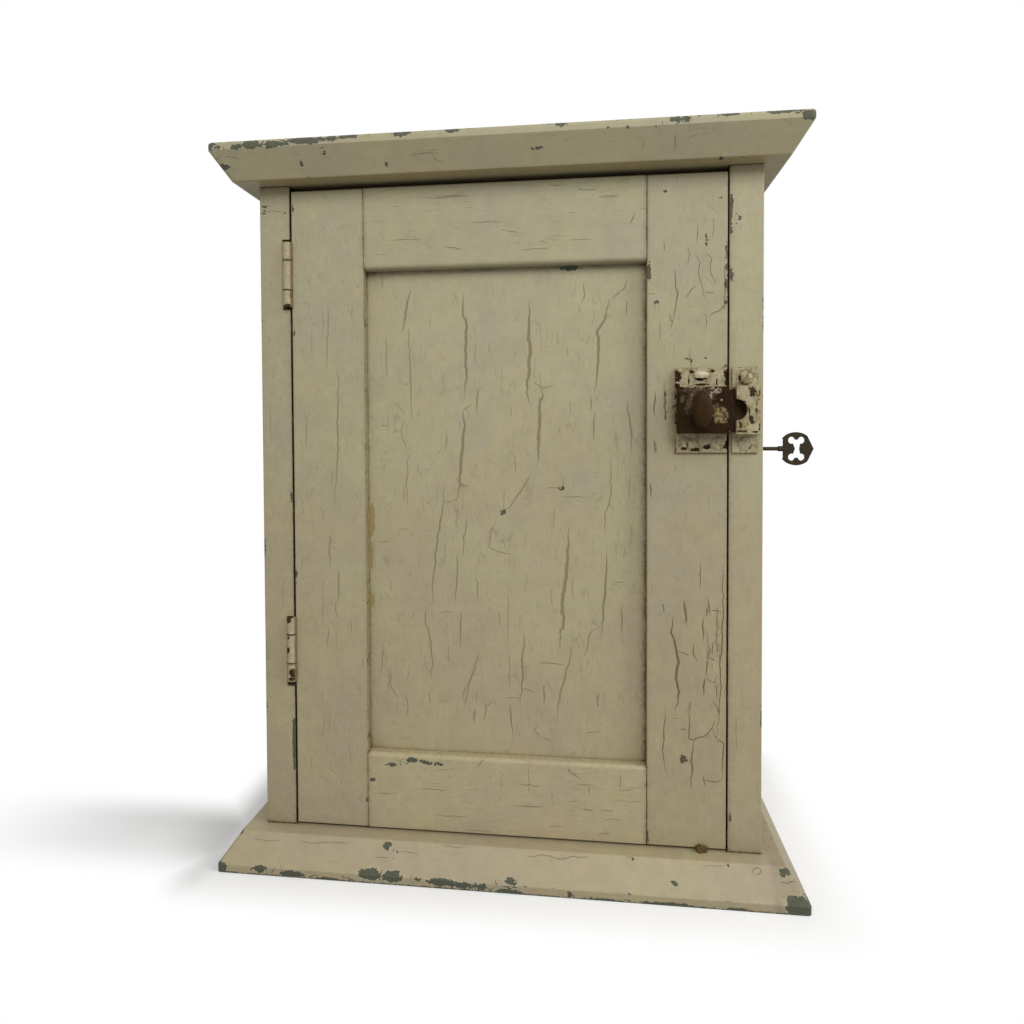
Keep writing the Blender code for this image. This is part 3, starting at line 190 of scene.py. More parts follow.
def make_cream_paint():
    """Brushed cream paint, yellowed and dirtied unevenly. Noise stretched along the grain gives the
    brush marks, and two wide noises move the colour between a grey and a green cream. The colour is
    warmer low down and cooler high up: painted light. The edges of two warped cell patterns, drawn out
    along the grain and broken up by noise, are its hair cracks. Where the dirt value passes 1 the paint
    turns near black: soot in dark blotches, and painted shade in gaps, joints and corners."""
    tree, given, put = new_group("Cream paint", {
        "Place": (0, 0, 0), "Grain": (1, 1, 0.1), "Cream": CREAM, "Grey": CREAM_GREY,
        "Green": CREAM_GREEN, "Dirt": BROWN_DIRT, "Grime and shade": 0.0, "Cracks": 1.0},
        ("Color", "Roughness", "Height"))
    # The dirt input also carries painted shade: it is high in gaps, angles and corners.
    place, grain, grime = given["Place"], given["Grain"], given["Grime and shade"]
    along = place * grain
    streaks = speckle(along, 0.9, 4.0, 0.6)
    fibres = speckle(along, 3.2, 3.0, 0.6)
    creamy = ramp(speckle(place, 0.022, 4.0, 0.6), 0.40, 0.58)
    greenish = ramp(speckle(place + (310, 40, 170), 0.015, 4.0, 0.6), 0.47, 0.62, 0.0, 0.9)
    colour = blend(greenish, blend(creamy, given["Grey"], given["Cream"]), given["Green"])
    # Warmer towards the floor, cooler high up: painted light.
    colour = colour * blend(ramp(node("SeparateXYZ", place)["Z"], 60.0, 400.0), WARM_LIGHT_LOW, COOL_LIGHT_HIGH)
    blotch = uneven(speckle(place, 0.11, 4.0, 0.6), 0.950, 1.035)
    colour = colour * (uneven(streaks, 0.972, 1.024) * uneven(fibres, 0.992, 1.008) * blotch)
    yellowed = uneven(speckle(place + (80, 21, 5), 0.13, 3.0, 0.5), 0.0, 1.0)
    colour = colour * blend(yellowed, BLUER_TINT, YELLOWER_TINT)
    bend = (node("TexNoise", place, None, 0.10, 2.0, 0.5)["Color"] - (0.5, 0.5, 0.5)) * 3.0
    hairs = []
    for shift, stretch, low, high in (((0, 0, 0), 0.13, 0.52, 0.62), ((33, 7, 61), 0.22, 0.54, 0.60)):
        cells = node("TexVoronoi", (place + bend + shift) * grain ** (0.8, 0.8, 0.8), None, stretch, 0.0,
                     feature="DISTANCE_TO_EDGE")["Distance"]
        kept = ramp(speckle(place + shift, 0.07, 4.0, 0.65), low, high)
        hairs.append(ramp(cells, 0.018, 0.035, 1.0, 0.0) * kept)
    hair = larger(*hairs) * given["Cracks"]
    colour = blend(hair * 0.42, colour, SPLIT_FLOOR)
    dust = grime * ramp(speckle(place, 0.35, 5.0, 0.65), 0.25, 0.7, 0.45, 1.1)
    fly_spots = ramp(speckle(place + (7, 90, 33), 0.75, 2.0, 0.5), 0.76, 0.81, 0.0, 0.55)
    colour = blend(larger(dust, fly_spots), colour, given["Dirt"])
    # Past a dirt value of about 1 the colour goes near black: soot, and painted shade in gaps, joints and
    # corners.
    thick = speckle(place, 0.6, 4.0, 0.65) * 0.8 + (grime - 0.4)
    brushed = streaks * 0.05 + fibres * 0.008 + speckle(place, 0.5, 2.0, 0.5) * 0.07
    fill(put, {"Color": blend(ramp(thick, 1.05, 1.45), colour, SOOT_AND_GAP_SHADE), "Height": brushed + hair * -0.05,
               "Roughness": uneven(streaks, 0.47, 0.62)})
    return tree


def make_splits():
    """Splits in the paint. A split comes as its signed distance and its half width in mm, once for
    those along the board and once for those across. Fine noise roughens both of their edges."""
    tree, given, put = new_group("Splits", {"Place": (0, 0, 0), "Along": (0, 0, 0), "Across": (0, 0, 0)},
                                 ("Open", "Height"))
    wander = speckle(given["Place"], 0.8, 3.0, 0.6) * 0.8 + -0.40
    opened, lips = [], []
    for run in ("Along", "Across"):
        parts = node("SeparateXYZ", given[run])
        past = abs(parts["X"] + wander) - parts["Y"]
        real = ramp(parts["Y"], 0.04, 0.14)
        opened.append(ramp(past, -0.12, 0.10, 1.0, 0.0) * real)
        lips.append(ramp(past, 0.0, 0.9, 1.0, 0.0) * real)
    opened, lip = larger(*opened), larger(*lips)
    fill(put, {"Open": opened, "Height": opened * -0.30 + lip * 0.07})
    return tree


def make_losses():
    """Places where the cream has come off. A chip comes as the place inside its oval, whose rim is at 1,
    and noise breaks that rim up, most for a small chip. Wear comes as a share, and the flakes of a noise
    go first where it is high. Under the cream lies the blue-green coat, or the bare wood. Just inside the
    edge of each loss that colour is darkened: painted shadow of the paint's edge."""
    tree, given, put = new_group("Paint losses", {
        "Place": (0, 0, 0), "Chip": (0, 0, 0), "Wear": 0.0, "Under": OLD_GREEN, "Wood": OLD_WOOD,
        "Bare": 0.3}, ("Gone", "Color", "Height", "Rim"))
    place = given["Place"]
    parts = node("SeparateXYZ", given["Chip"])
    reach = length_of(node("CombineXYZ", parts["X"], parts["Y"], 0.0)["Vector"])
    ragged = speckle(place, 0.30, 3.0, 0.5) * 7.0 + -3.5 + (speckle(place, 0.85, 1.0, 0.5) * 3.0 + -1.5)
    edge = ragged * larger(parts["Z"] - 1.0, 0.0) + reach
    real = ramp(parts["Z"], 0.70, 0.85)
    worn = given["Wear"] * 0.42 + speckle(place + (19, 3, 44), 0.50, 3.0, 0.65)
    gone = larger(ramp(edge, 0.94, 1.02, 1.0, 0.0) * real, ramp(worn, 0.755, 0.775))
    rim = larger(ramp(edge, 1.0, 1.30, 1.0, 0.0) * real, ramp(worn, 0.69, 0.76)) - gone
    bare = speckle(place + (51, 13, 8), 0.55, 4.0, 0.65) + given["Bare"]
    under = blend(ramp(bare, 0.49, 0.55), given["Under"], given["Wood"])
    # Painted shadow of the paint's edge, just inside each chip and worn place.
    shaded_shore = larger(ramp(edge, 0.70, 0.95) * real, ramp(worn, 0.86, 0.775))
    under = blend(shaded_shore * 0.45, under, CHIP_EDGE_SHADE) * uneven(speckle(place, 1.2, 3.0, 0.6), 0.75, 1.3)
    fill(put, {"Gone": gone, "Rim": rim, "Color": under, "Height": gone * -0.30 + rim * 0.06})
    return tree


cream_paint = make_cream_paint()
splits = make_splits()
losses = make_losses()


def new_material(name, shine):
    """New material, the inputs of its shader and the place on the piece in mm."""
    material = bpy.data.materials.new(name)
    material.use_nodes = True
    shader = material.node_tree.nodes["Principled BSDF"].inputs
    shader["Specular IOR Level"].default_value = shine
    return material, shader, node("TexCoord", tree=material.node_tree)["Object"] * (1 / MM)


def field(material, label):
    """Field of the mesh, by name: its Vector and, for a plain number, its Fac."""
    return node("Attribute", tree=material.node_tree, attribute_name=label)


def raised(height, strength=0.8):
    """Normal of a surface raised by a height in mm."""
    return node("Bump", named={"Strength": strength, "Distance": MM, "Height": height})["Normal"]


def shaded(colour, factor):
    """Darker or lighter version of a colour."""
    return tuple(part * factor for part in colour[:3]) + (1,)


def painted_wood(name, grain, shade=1.0, bare=0.0, under=OLD_GREEN, wood=OLD_WOOD, hairs=1.0,
                 deep=SPLIT_FLOOR, dirt=BROWN_DIRT, worn=0.0):
    """Material of one painted board. grain is small along the board and 1 across it, and shade makes the
    whole board a little lighter or darker than the others: painted light and shade for how each board is lit.
    deep is the colour in its splits, and worn is a wear that lies evenly over it."""
    material, shader, place = new_material(name, 0.35)
    paint = node("Group", node_tree=cream_paint, named={
        "Place": place, "Grime and shade": field(material, "grime")["Fac"], "Grain": grain, "Cracks": hairs,
        "Dirt": dirt, "Cream": shaded(CREAM, shade), "Grey": shaded(CREAM_GREY, shade),
        "Green": shaded(CREAM_GREEN, shade)})
    cracks = node("Group", place, field(material, "split")["Vector"], field(material, "check")["Vector"],
                  node_tree=splits)
    chips = node("Group", place, field(material, "chip")["Vector"], field(material, "wear")["Fac"] + worn,
                 under, wood, bare, node_tree=losses)
    ochre = field(material, "ochre")["Fac"] + speckle(place, 0.5, 4.0, 0.6)
    colour = blend(ramp(ochre, 0.88, 1.10), paint["Color"], OCHRE)
    colour = blend(cracks["Open"], colour, deep)
    # Lighter rim round chips and worn places: painted highlight on the broken paint edge.
    colour = blend(chips["Rim"] * 0.35, colour, HIGHLIGHT_CREAM)
    fill(shader, {"Base Color": blend(chips["Gone"], colour, chips["Color"]),
                  "Roughness": chips["Gone"] * 0.2 + (cracks["Open"] * 0.3 + paint["Roughness"]),
                  "Normal": raised(paint["Height"] + cracks["Height"] + chips["Height"], 0.7)})
    return material


def skin(name, points, fields=None):
    """Closed mesh from rings of points, held as (ring, point, 3). Every four neighbours make a face, each
    ring's last point joins its first, and a flat face closes the first and the last ring."""
    rings, around = points.shape[:2]
    index = np.arange(rings * around).reshape(rings, around)
    beside = np.roll(index, -1, axis=1)
    faces = np.stack((index[:-1], beside[:-1], beside[1:], index[1:]), axis=-1).reshape(-1, 4).tolist()
    faces += [index[0, ::-1].tolist(), index[-1].tolist()]
    mesh = bpy.data.meshes.new(name)
    mesh.from_pydata(points.reshape(-1, 3).tolist(), [], faces)
    for label, values in (fields or {}).items():
        kind = "FLOAT" if values.ndim == 2 else "FLOAT_VECTOR"
        layer = mesh.attributes.new(label, kind, "POINT")
        layer.data.foreach_set("value" if kind == "FLOAT" else "vector",
                               np.ascontiguousarray(values, dtype=np.float32).ravel())
    mesh.shade_smooth()
    mesh.set_sharp_from_angle(angle=np.radians(40))
    piece = bpy.data.objects.new(name, mesh)
    bpy.context.scene.collection.objects.link(piece)
    return piece


def unit(share):
    """A share kept between 0 and 1."""
    return np.clip(share, 0, 1)


def jagged(points, random, jump, step=2.3, sway=0.24):
    """The same line in mm with a point every step, each moved a little at random. About every 9 mm the
    line also jumps sideways. Its ends stay."""
    run = np.concatenate(((0.0,), np.cumsum(np.hypot(*np.diff(points, axis=0).T))))
    stops = np.linspace(0, run[-1], max(int(run[-1] / step), 1) + 1)
    line = np.stack([np.interp(stops, run, points[:, part]) for part in (0, 1)], axis=1)
    line[1:-1] += random.normal(0, sway, (len(stops) - 2, 2))
    jumps = random.normal(0, jump, int(run[-1] / 9) + 2)
    wide, tall = np.ptp(points, axis=0)
    line[1:-1, int(wide > tall)] += jumps[(stops[1:-1] / 9).astype(int)]
    return line


def split_field(across, along, lines, reach):
    """For each point in mm, the signed distance to the nearest line and the line's half width. A line is
    its full width and then the two coordinates of each of its points. It is widest in the middle and runs
    out to nothing at both ends, and the half width falls away between reach and twice reach to its sides."""
    nearest = np.full(across.shape, FAR)
    offset = np.full(across.shape, FAR)
    half = np.zeros(across.shape)
    random = np.random.default_rng(len(lines))
    for width, *points in lines:
        points = jagged(np.array(points, dtype=float).reshape(-1, 2), random, 0.26 * width)
        steps = np.diff(points, axis=0)
        lengths = np.hypot(*steps.T)
        starts = np.concatenate(((0.0,), np.cumsum(lengths)))
        for (u, v), (du, dv), length, start in zip(points, steps, lengths, starts):
            low_u, high_u = sorted((u, u + du))
            low_v, high_v = sorted((v, v + dv))
            near = ((across > low_u - 3 * reach) & (across < high_u + 3 * reach)
                    & (along > low_v - 3 * reach) & (along < high_v + 3 * reach))
            if not near.any():
                continue
            pu, pv = across[near] - u, along[near] - v
            share = unit((pu * du + pv * dv) / length ** 2)
            away = np.hypot(pu - share * du, pv - share * dv)
            side = np.where(pu * dv - pv * du < 0, -1.0, 1.0)
            run = (start + share * length) / starts[-1]
            wide = width / 2 * np.sin(np.pi * np.clip(run, 0.02, 0.98)) ** 0.7
            wide = wide * unit(2 - away / reach)
            closer = away < nearest[near]
            nearest[near] = np.where(closer, away, nearest[near])
            offset[near] = np.where(closer, away * side, offset[near])
            half[near] = np.where(closer, wide, half[near])
    return offset, half


def chip_field(across, along, chips, reach):
    """For each point in mm, its place inside the nearest chip, as shares of the chip's two half widths,
    and 1 plus one over the chip's size, or 0 where no chip is near. A chip is its centre and its two half
    widths."""
    inside = np.zeros(across.shape + (3,))
    nearest = np.full(across.shape, FAR)
    for u, v, half_u, half_v in chips:
        pu, pv = (across - u) / half_u, (along - v) / half_v
        away = np.hypot(pu, pv)
        near = (np.abs(across - u) < half_u * 2 + reach) & (np.abs(along - v) < half_v * 2 + reach)
        closer = near & (away < nearest)
        nearest[closer] = away[closer]
        rough = 1 + min(1 / np.sqrt(half_u * half_v), 0.5)
        inside[closer] = np.stack((pu, pv, np.full_like(pu, rough)), axis=-1)[closer]
    return inside


def cracked(points, across, along, lines, cross_lines, chips, reach, sink, shown):
    """Fields of a cracked board, and its points with the wide splits sunk into its front by sink in mm.
    across and along are the board's own two coordinates in mm. Only what is shown has the damage."""
    offset, half = split_field(across, along, lines, reach)
    open_share = unit((half + 0.25 - np.abs(offset)) / 0.5) * unit((half - 0.3) / 0.3)
    points = points + np.array((0, 1, 0)) * (open_share * shown * sink * MM)[..., None]
    check_offset, check_half = split_field(across, along, cross_lines, 3 * reach)
    chip = chip_field(across, along, chips, 3.0)
    chip[..., 2] *= shown
    zero = np.zeros_like(half)
    fields = {"split": np.stack((offset, half * shown, zero), axis=-1),
              "check": np.stack((check_offset, check_half * shown, zero), axis=-1), "chip": chip}
    return points, fields


def eased_line(corners, spacing, radius, steps=3):
    """Profile through corners in a plane, with a point about every spacing and each inner corner
    rounded by an arc. radius is one length for all inner corners, or one for each of them."""
    corners = [np.array(corner, dtype=float) for corner in corners]
    radii = np.broadcast_to(radius, len(corners) - 2)
    points = [corners[0]]
    for before, here, after, bend_radius in zip(corners, corners[1:], corners[2:], radii):
        come, go = here - before, after - here
        come, go = come / np.hypot(*come), go / np.hypot(*go)
        cut_back = bend_radius * np.tan(np.arccos(np.clip(come @ go, -1, 1)) / 2)
        share = np.linspace(0, 1, steps + 1)[:, None]
        start, end = here - come * cut_back, here + go * cut_back
        bend = (1 - share) ** 2 * start + 2 * share * (1 - share) * here + share ** 2 * end
        count = max(int(np.hypot(*(start - points[-1])) / spacing), 1)
        run = np.linspace(0, 1, count + 1)[1:-1, None]
        points = np.vstack((np.atleast_2d(points), points[-1] + (start - points[-1]) * run, bend))
    count = max(int(np.hypot(*(corners[-1] - points[-1])) / spacing), 1)
    run = np.linspace(0, 1, count + 1)[1:, None]
    return np.vstack((np.atleast_2d(points), points[-1] + (corners[-1] - points[-1]) * run))


def splayed_rings(section, spacing=1.0 * MM, corner=2.6 * MM):
    """Rings of a splayed board. Each point of the section, as height and overhang, gives one level ring:
    a rectangle with its front and both ends moved out by the overhang and its two front corners rounded."""
    turn = np.radians(np.linspace(0, 90, 7))
    front = np.linspace(-1, 1, int(2 * CARCASS_HALF / spacing))
    side = np.linspace(0, 1, int((CARCASS_BACK - CARCASS_FRONT) / spacing / 2))
    rear = np.linspace(1, -1, 24)
    reach = section[:, 1, None]
    half = CARCASS_HALF + reach
    round_off = np.clip(np.minimum(half, corner), 0, None)
    low = CARCASS_FRONT - reach
    x = np.concatenate((front * (half - round_off), half - round_off + round_off * np.sin(turn[1:]),
                        half + 0 * side[1:], half * rear[1:], -half + 0 * side[1:],
                        -half + round_off - round_off * np.sin(turn[::-1][1:-1])), axis=1)
    y = np.concatenate((low + 0 * front, low + round_off - round_off * np.cos(turn[1:]),
                        low + round_off + (CARCASS_BACK - low - round_off) * side[1:],
                        CARCASS_BACK + 0 * rear[1:] + 0 * half,
                        low + round_off + (CARCASS_BACK - low - round_off) * side[::-1][1:],
                        low + round_off - round_off * np.cos(turn[::-1][1:-1])), axis=1)
    z = np.repeat(section[:, 0, None], x.shape[1], axis=1)
    return np.stack((x, y, z), axis=-1)


def ripple(run, seed, longest=60.0, waves=14):
    """Smooth random line between about -1 and 1 at places run, in mm. It is a sum of sine waves from
    the longest down to a twelfth of it."""
    random = np.random.default_rng(seed)
    lengths = longest / np.linspace(1, 12, waves)
    heights = (lengths / longest) ** 0.6
    starts = random.uniform(0, 2 * np.pi, waves)
    total = sum(height * np.sin(2 * np.pi * run / length + start)
                for height, length, start in zip(heights, lengths, starts))
    return total / np.sqrt((heights ** 2).sum()) / 1.4


def splayed_board(name, section, radii, lines, chips, grime, wear):
    """One splayed board. Its chips and splits are placed in mm by the run round the board, which is X on
    the front and goes on along both ends, and by the run up the section from its lowest outer corner."""
    bottom, top = section[0][0], section[-1][0]
    inward = np.concatenate((np.arange(1, 17), (27, 60))) * MM
    low_start, high_start = section[0][1] - 3 * MM, section[-1][1] - 3 * MM
    outer = eased_line(((bottom, low_start), *section, (top, high_start)), 0.8 * MM, radii, 5)
    lower = np.stack((np.full(len(inward), bottom), low_start - inward), axis=1)[::-1]
    upper = np.stack((np.full(len(inward), top), high_start - inward), axis=1)
    profile = np.vstack((lower, outer, upper))
    run_up = np.concatenate(((0.0,), np.cumsum(np.hypot(*np.diff(profile, axis=0).T)))) / MM
    run_up -= run_up[len(inward)] + 3
    points = splayed_rings(profile)
    x, y, z = np.moveaxis(points, -1, 0)
    low = CARCASS_FRONT - profile[:, 1, None]
    across = (x + np.sign(x) * (y - low)) / MM
    along = np.repeat(run_up[:, None], x.shape[1], axis=1)
    shown = (y < CARCASS_BACK - 1 * MM).astype(float)
    upright, level = split_by_slope(lines)
    points, fields = cracked(points, across, along, upright, level, chips, 1.5, 0, shown)
    fields["grime"] = grime(x, y, z)
    fields["wear"] = wear(across, along, x, y)
    return skin(name, points, fields)


def split_by_slope(lines):
    """The same lines sorted into those that go mostly upright and those that go mostly level."""
    upright, level = [], []
    for width, *points in lines:
        steps = np.diff(np.reshape(points, (-1, 2)), axis=0)
        steep = np.abs(steps[:, 1]) > 0.8 * np.abs(steps[:, 0])
        (upright if steep.mean() > 0.5 else level).append((width, *points))
    return upright, level


DOOR_HALF = 0.1515
BASE_SPLITS = (
    (0.6, -147, 23.3, -135, 22.5, -122, 23.8, -105, 23.9),
    (0.6, 15.6, 23.1, 29.9, 24.6, 40.1, 23.1, 50.2, 25.5, 62.3, 24.7),
    (0.5, -72.8, 20.7, -65, 21.1, -56.2, 21), (0.4, -155.7, 9.7, -153.7, 6.1, -150.7, 3.2),
    (0.4, -181, 22.9, -167.3, 22.1, -155.6, 23.4), (0.4, 83.6, 26.6, 88.3, 27.8, 89.5, 24.6),
    (0.35, -43, 26.3, -21.9, 26), (0.35, 132.6, 24.3, 143, 25.8, 150.1, 25.7),
    (0.8, 167.6, 21.2, 166, 23.6, 167.4, 25.8, 170.6, 26.4, 172.2, 24.6, 170, 22.6, 167.6, 21.2),
)
BASE_CHIPS = (
    (-169.4, 4.3, 5.5, 2.5), (-145.4, 2.4, 8.5, 2.2), (-90.4, 6, 8.4, 3.9), (-74.6, 5.4, 7.5, 3.9),
    (-57.1, 5.4, 2.4, 1), (-39.5, 4.4, 10, 2.6), (-25, 3.2, 7, 2.2), (-11.9, 3.4, 4.1, 2.3),
    (6.8, 1.4, 7.4, 1.6), (7.3, 7.9, 3.7, 2.4), (46.8, 2.2, 1.2, 1.7), (109.8, 1, 13.7, 1.3),
    (115.1, 13.5, 1.8, 1.5), (187.2, 24.2, 4.6, 2.6), (88.9, 26.4, 1, 0.9), (150.7, 26, 1, 1.2),
    (193.2, 5.6, 9, 6.4), (203, 5, 7, 5), (-198.6, 3.5, 4.5, 3.8), (-80.6, 23.9, 2.7, 2),
    (-72.8, 20.7, 1.4, 1.1), (-205, 14, 4, 3), (-190, 26.5, 3, 1.5), (-212, 3, 7, 3), (155, 1, 6, 0.9),
    (-118, 1, 9, 1), (70, 0.9, 9, 0.8),
)


def lower_left_shade(x, z):
    """Thin brown laid over the whole cupboard, least high up in the middle and more towards the left and
    the floor: painted shade for light that falls from the upper right."""
    return unit(0.05 + 0.10 * unit(-x / CARCASS_HALF) ** 1.5 + 0.09 * (1 - z / 0.51))


def base_shade(x, y, z):
    """Painted shade on the base board: in the angle along the carcass, over its right end, as a dark line
    at the floor, and more towards the lower left.
    """
    under = unit((z - 0.0225) / 0.0012)
    beside = unit(np.abs(x) - CARCASS_HALF) + unit(CARCASS_FRONT - y)
    angle = 0.35 * np.exp(-beside / 0.004) + 0.9 * np.exp(-beside / 0.0007) * (np.abs(x) > DOOR_HALF)
    floor_line = 0.5 * np.exp(-z / 0.0007)
    right_end = 0.40 * unit((x - CARCASS_HALF - 0.001) / 0.004)
    return under * angle + floor_line + right_end + 0.3 * lower_left_shade(x, z)


def base_wear(across, along, x, y):
    """Wear of the base board: heavy along the bottom arris and round the front corners, and a little on
    the arris between fillet and slope."""
    bottom = np.exp(-np.abs(along - 0.2) / 0.9) * (0.95 + 0.25 * ripple(across, 3))
    middle = np.exp(-np.abs(along - 5.6) / 0.7) * unit(0.25 + 0.4 * ripple(across, 5))
    corner = np.exp(-np.abs(np.abs(across) - 201) / 2.6) * np.clip(1.1 - along / 34, 0.25, 1)
    ends = unit((np.abs(across) - 200) / 6) * 0.25
    return np.clip(bottom + middle + 0.75 * corner + ends, 0, 1.3)


board = splayed_board("base_board_painted", BASE_SECTION, BASE_RADII, BASE_SPLITS, BASE_CHIPS, base_shade,
                      base_wear)
# shade 0.885 dims the whole board: painted shade.
board.data.materials.append(painted_wood("Base board paint", GRAIN_LEVEL, 0.885, 0.02, hairs=0.6))
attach(board, "carcass")
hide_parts("base_board")

# Top board. The same plank turned over: an upright fillet along its top, then a splay that runs
# back down to the carcass, so the slope faces the floor and lies in its own shade. The top edge
# has had the hardest wear and shows most of the old blue-green.

TOP_RADII = (1.2 * MM, 1.0 * MM, 2.2 * MM)
TOP_SECTION = ((0.4862, 0.0142), (0.5044, 0.0258), (0.5100, 0.0258))
TOP_SPLITS = (
    (0.6, -60.5, 11.3, -52.1, 12.1, -43.4, 11.6, -41.5, 6.9, -35.1, 6.1),
    (0.8, 114.5, 15.7, 115.4, 11.5, 116, 7.8, 115.3, 4.7), (0.35, 94.8, 13.7, 94.3, 9.5, 95.1, 4.8),
    (0.35, 122.3, 11.1, 125, 13.1, 128.6, 14.7, 128.1, 16.8), (0.35, -48.5, 13.8, -38.3, 13.9),
    (0.3, 130.4, 14.8, 137.9, 14.8), (0.35, -136.2, 11.3, -136.1, 8.7),
)
TOP_CHIPS = (
    (-168.8, 23.2, 7.9, 2.8), (-152.7, 23.2, 8.2, 2.3), (-156.1, 21.2, 2.1, 1.3), (-132.1, 24.6, 12.3, 2.4),
    (-126.1, 23, 4.9, 1.2), (-112.8, 25, 7, 1.9), (-99.5, 25.8, 6.2, 1.5), (-192.3, 22.6, 2.5, 1.4),
    (-180, 22.3, 4.7, 1.7), (-63.4, 25.6, 6.5, 2.2), (-29.1, 26, 5.8, 1.7), (42, 26.2, 4.2, 1.6),
    (115.4, 24.8, 2.8, 2.4), (122.2, 24.8, 2.8, 2.1), (147.7, 26.4, 6.7, 1.6), (180.9, 26, 9.6, 1.5),
    (-135.6, 9.2, 1.2, 1.8), (-117.7, 15.6, 1.3, 1.6), (-76.1, 6.3, 1, 1.5), (-191.3, 10, 4.7, 2),
    (26.4, 11.6, 3.3, 0.9), (72.4, 21.7, 1, 1.1), (85.1, 21.3, 0.9, 0.8), (102.8, 20.8, 0.9, 0.9),
    (145.7, -1.7, 1.5, 2.1), (196, 22.8, 5.1, 2.9), (204, 24, 6, 3), (-199, 24.6, 4, 3), (-208, 24, 6, 3),
    (160, -2.4, 1.2, 0.8),
)
TOP_RUN = 27.2
TOP_GREEN = (0.112, 0.128, 0.096, 1)
TOP_OLIVE = (0.096, 0.090, 0.054, 1)
# A light brown, so the soffit reads brown without going dark in its shade: dirt colour and painted light.
SOFFIT_BROWN = (0.360, 0.285, 0.138, 1)


def top_dirt_and_shade(x, y, z):
    """Brown dirt and painted shade on the top board. Over the splay towards the carcass it is painted
    shade. On the flat soffit it is thick brown dirt, thinned towards the door so that the angle stays light,
    which is painted light against its shade; in the soffit's angle with the door it is a dark line of painted
    shade. It also grows towards the lower left."""
    bottom, overhang = TOP_SECTION[0]
    flat = unit(1 - (z - bottom) / 0.0006)
    inward = unit(y - (CARCASS_FRONT - overhang))
    # Thinner towards the door so the angle stays light: painted light.
    soffit = flat * (0.85 - 0.35 * unit(inward / 0.014))
    splay = (1 - flat) * 0.20 * np.exp(-unit(z - bottom) / 0.006)
    # Dark line in the soffit's angle with the door: painted shade.
    joint = flat * 0.9 * np.exp(-np.abs(y - CARCASS_FRONT) / 0.0004) * (np.abs(x) < CARCASS_HALF + 0.001)
    return soffit + splay + joint + lower_left_shade(x, z)


def top_wear(across, along, x, y):
    """Wear of the top board: heavy along its top arris, most at the left, and round the front corners."""
    left = unit(-across / 200)
    arris = np.exp(-np.abs(along - TOP_RUN) / 1.3) * (0.50 + 0.30 * left + 0.45 * ripple(across, 8, 45))
    corner = np.exp(-np.abs(np.abs(across) - 201) / 2.4) * unit((along - 8) / 20)
    corner = corner * np.exp(-np.clip(along - TOP_RUN, 0, None) / 3)
    lower = np.exp(-np.abs(along) / 0.8) * unit(0.1 + 0.4 * ripple(across, 6))
    upper_face = 0.28 * unit((along - TOP_RUN - 1) / 4)
    return np.clip(arris + 0.75 * corner + lower + upper_face, 0, 1.3)


board = splayed_board("top_board_painted", TOP_SECTION, TOP_RADII, TOP_SPLITS, TOP_CHIPS, top_dirt_and_shade, top_wear)
# shade 0.92 dims the whole board: painted shade.
board.data.materials.append(painted_wood("Top board paint", GRAIN_LEVEL, 0.92, 0.0, TOP_GREEN, TOP_OLIVE, 0.6,
                                         dirt=SOFFIT_BROWN))
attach(board, "carcass")
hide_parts("top_board")

# Side boards. Two upright boards 22.5 mm thick, nailed between base and top. Their front edges
# frame the door. The left one is notched for the hinge barrels and cut back for the leaves, and
# both are rebated at the back for the lining boards.

OPENING = 0.1525
SIDE_BOTTOM, SIDE_TOP = 0.0241, 0.4859
REBATE_FLOOR = 0.1625
REBATE_SHOULDER = 0.0987
ARRIS = 0.6 * MM
HINGE_X, HINGE_Y = -0.1542, -0.0858
HINGE_CENTRES = (0.1528, 0.4225)
HINGE_HALF = 0.0230
BARREL_NOTCH_DEPTH = 0.0040
BARREL_NOTCHES = ((0.1252, 0.1764), (0.3979, 0.4481))
LEAF_BACK = -0.0687
LEAF_MORTISE = 0.0018
LEAF_PLAY = 0.0003
LEAF_EDGES = [centre + end * (HINGE_HALF + LEAF_PLAY) for centre in HINGE_CENTRES for end in (-1, 1)]
SIDE_UNDER = {"left": OLD_GREEN, "right": (0.122, 0.114, 0.078, 1)}


def upright_levels(bottom, top, spacing, edges):
    """Heights of an upright board's rings: evenly spaced, closer at both ends, and doubled at the edges
    of its recesses."""
    levels = np.linspace(bottom, top, int((top - bottom) / spacing))
    ends = np.array((0.15, 0.4, 0.8)) * MM
    steps = np.array([edge + side * 0.01 * MM for edge in edges for side in (-1, 1)])
    return np.unique(np.concatenate((levels, bottom + ends, top - ends, steps)))


def upright_board(outline, levels):
    """Points of an upright board: its outline in X and Y, repeated at every level."""
    points = np.empty((len(levels), len(outline), 3))
    points[..., :2] = outline
    points[..., 2] = levels[:, None]
    return points


def wandering_lines(seed, count, box, length, width, upright=True):
    """Thin splits strewn over a box given as low and high corners in mm. Each starts at a random place
    and wanders along the grain in short steps, a little to one side and then to the other."""
    random = np.random.default_rng(seed)
    lines = []
    for _ in range(count):
        u, v = random.uniform(box[0], box[1]), random.uniform(box[2], box[3])
        steps = random.integers(3, 7)
        run = random.uniform(*length) / steps
        sway = np.cumsum(random.normal(0, 0.22, steps + 1)) * np.sqrt(run)
        ahead = np.arange(steps + 1) * run
        across, along = (u + sway, v + ahead) if upright else (u + ahead, v + sway)
        lines.append((random.uniform(*width), *np.stack((across, along), axis=1).ravel()))
    return lines


def strewn_chips(seed, count, box, size):
    """Chips strewn over a box given as low and high corners in mm."""
    random = np.random.default_rng(seed)
    return tuple(zip(random.uniform(box[0], box[1], count), random.uniform(box[2], box[3], count),
                     random.uniform(*size, count), random.uniform(*size, count)))


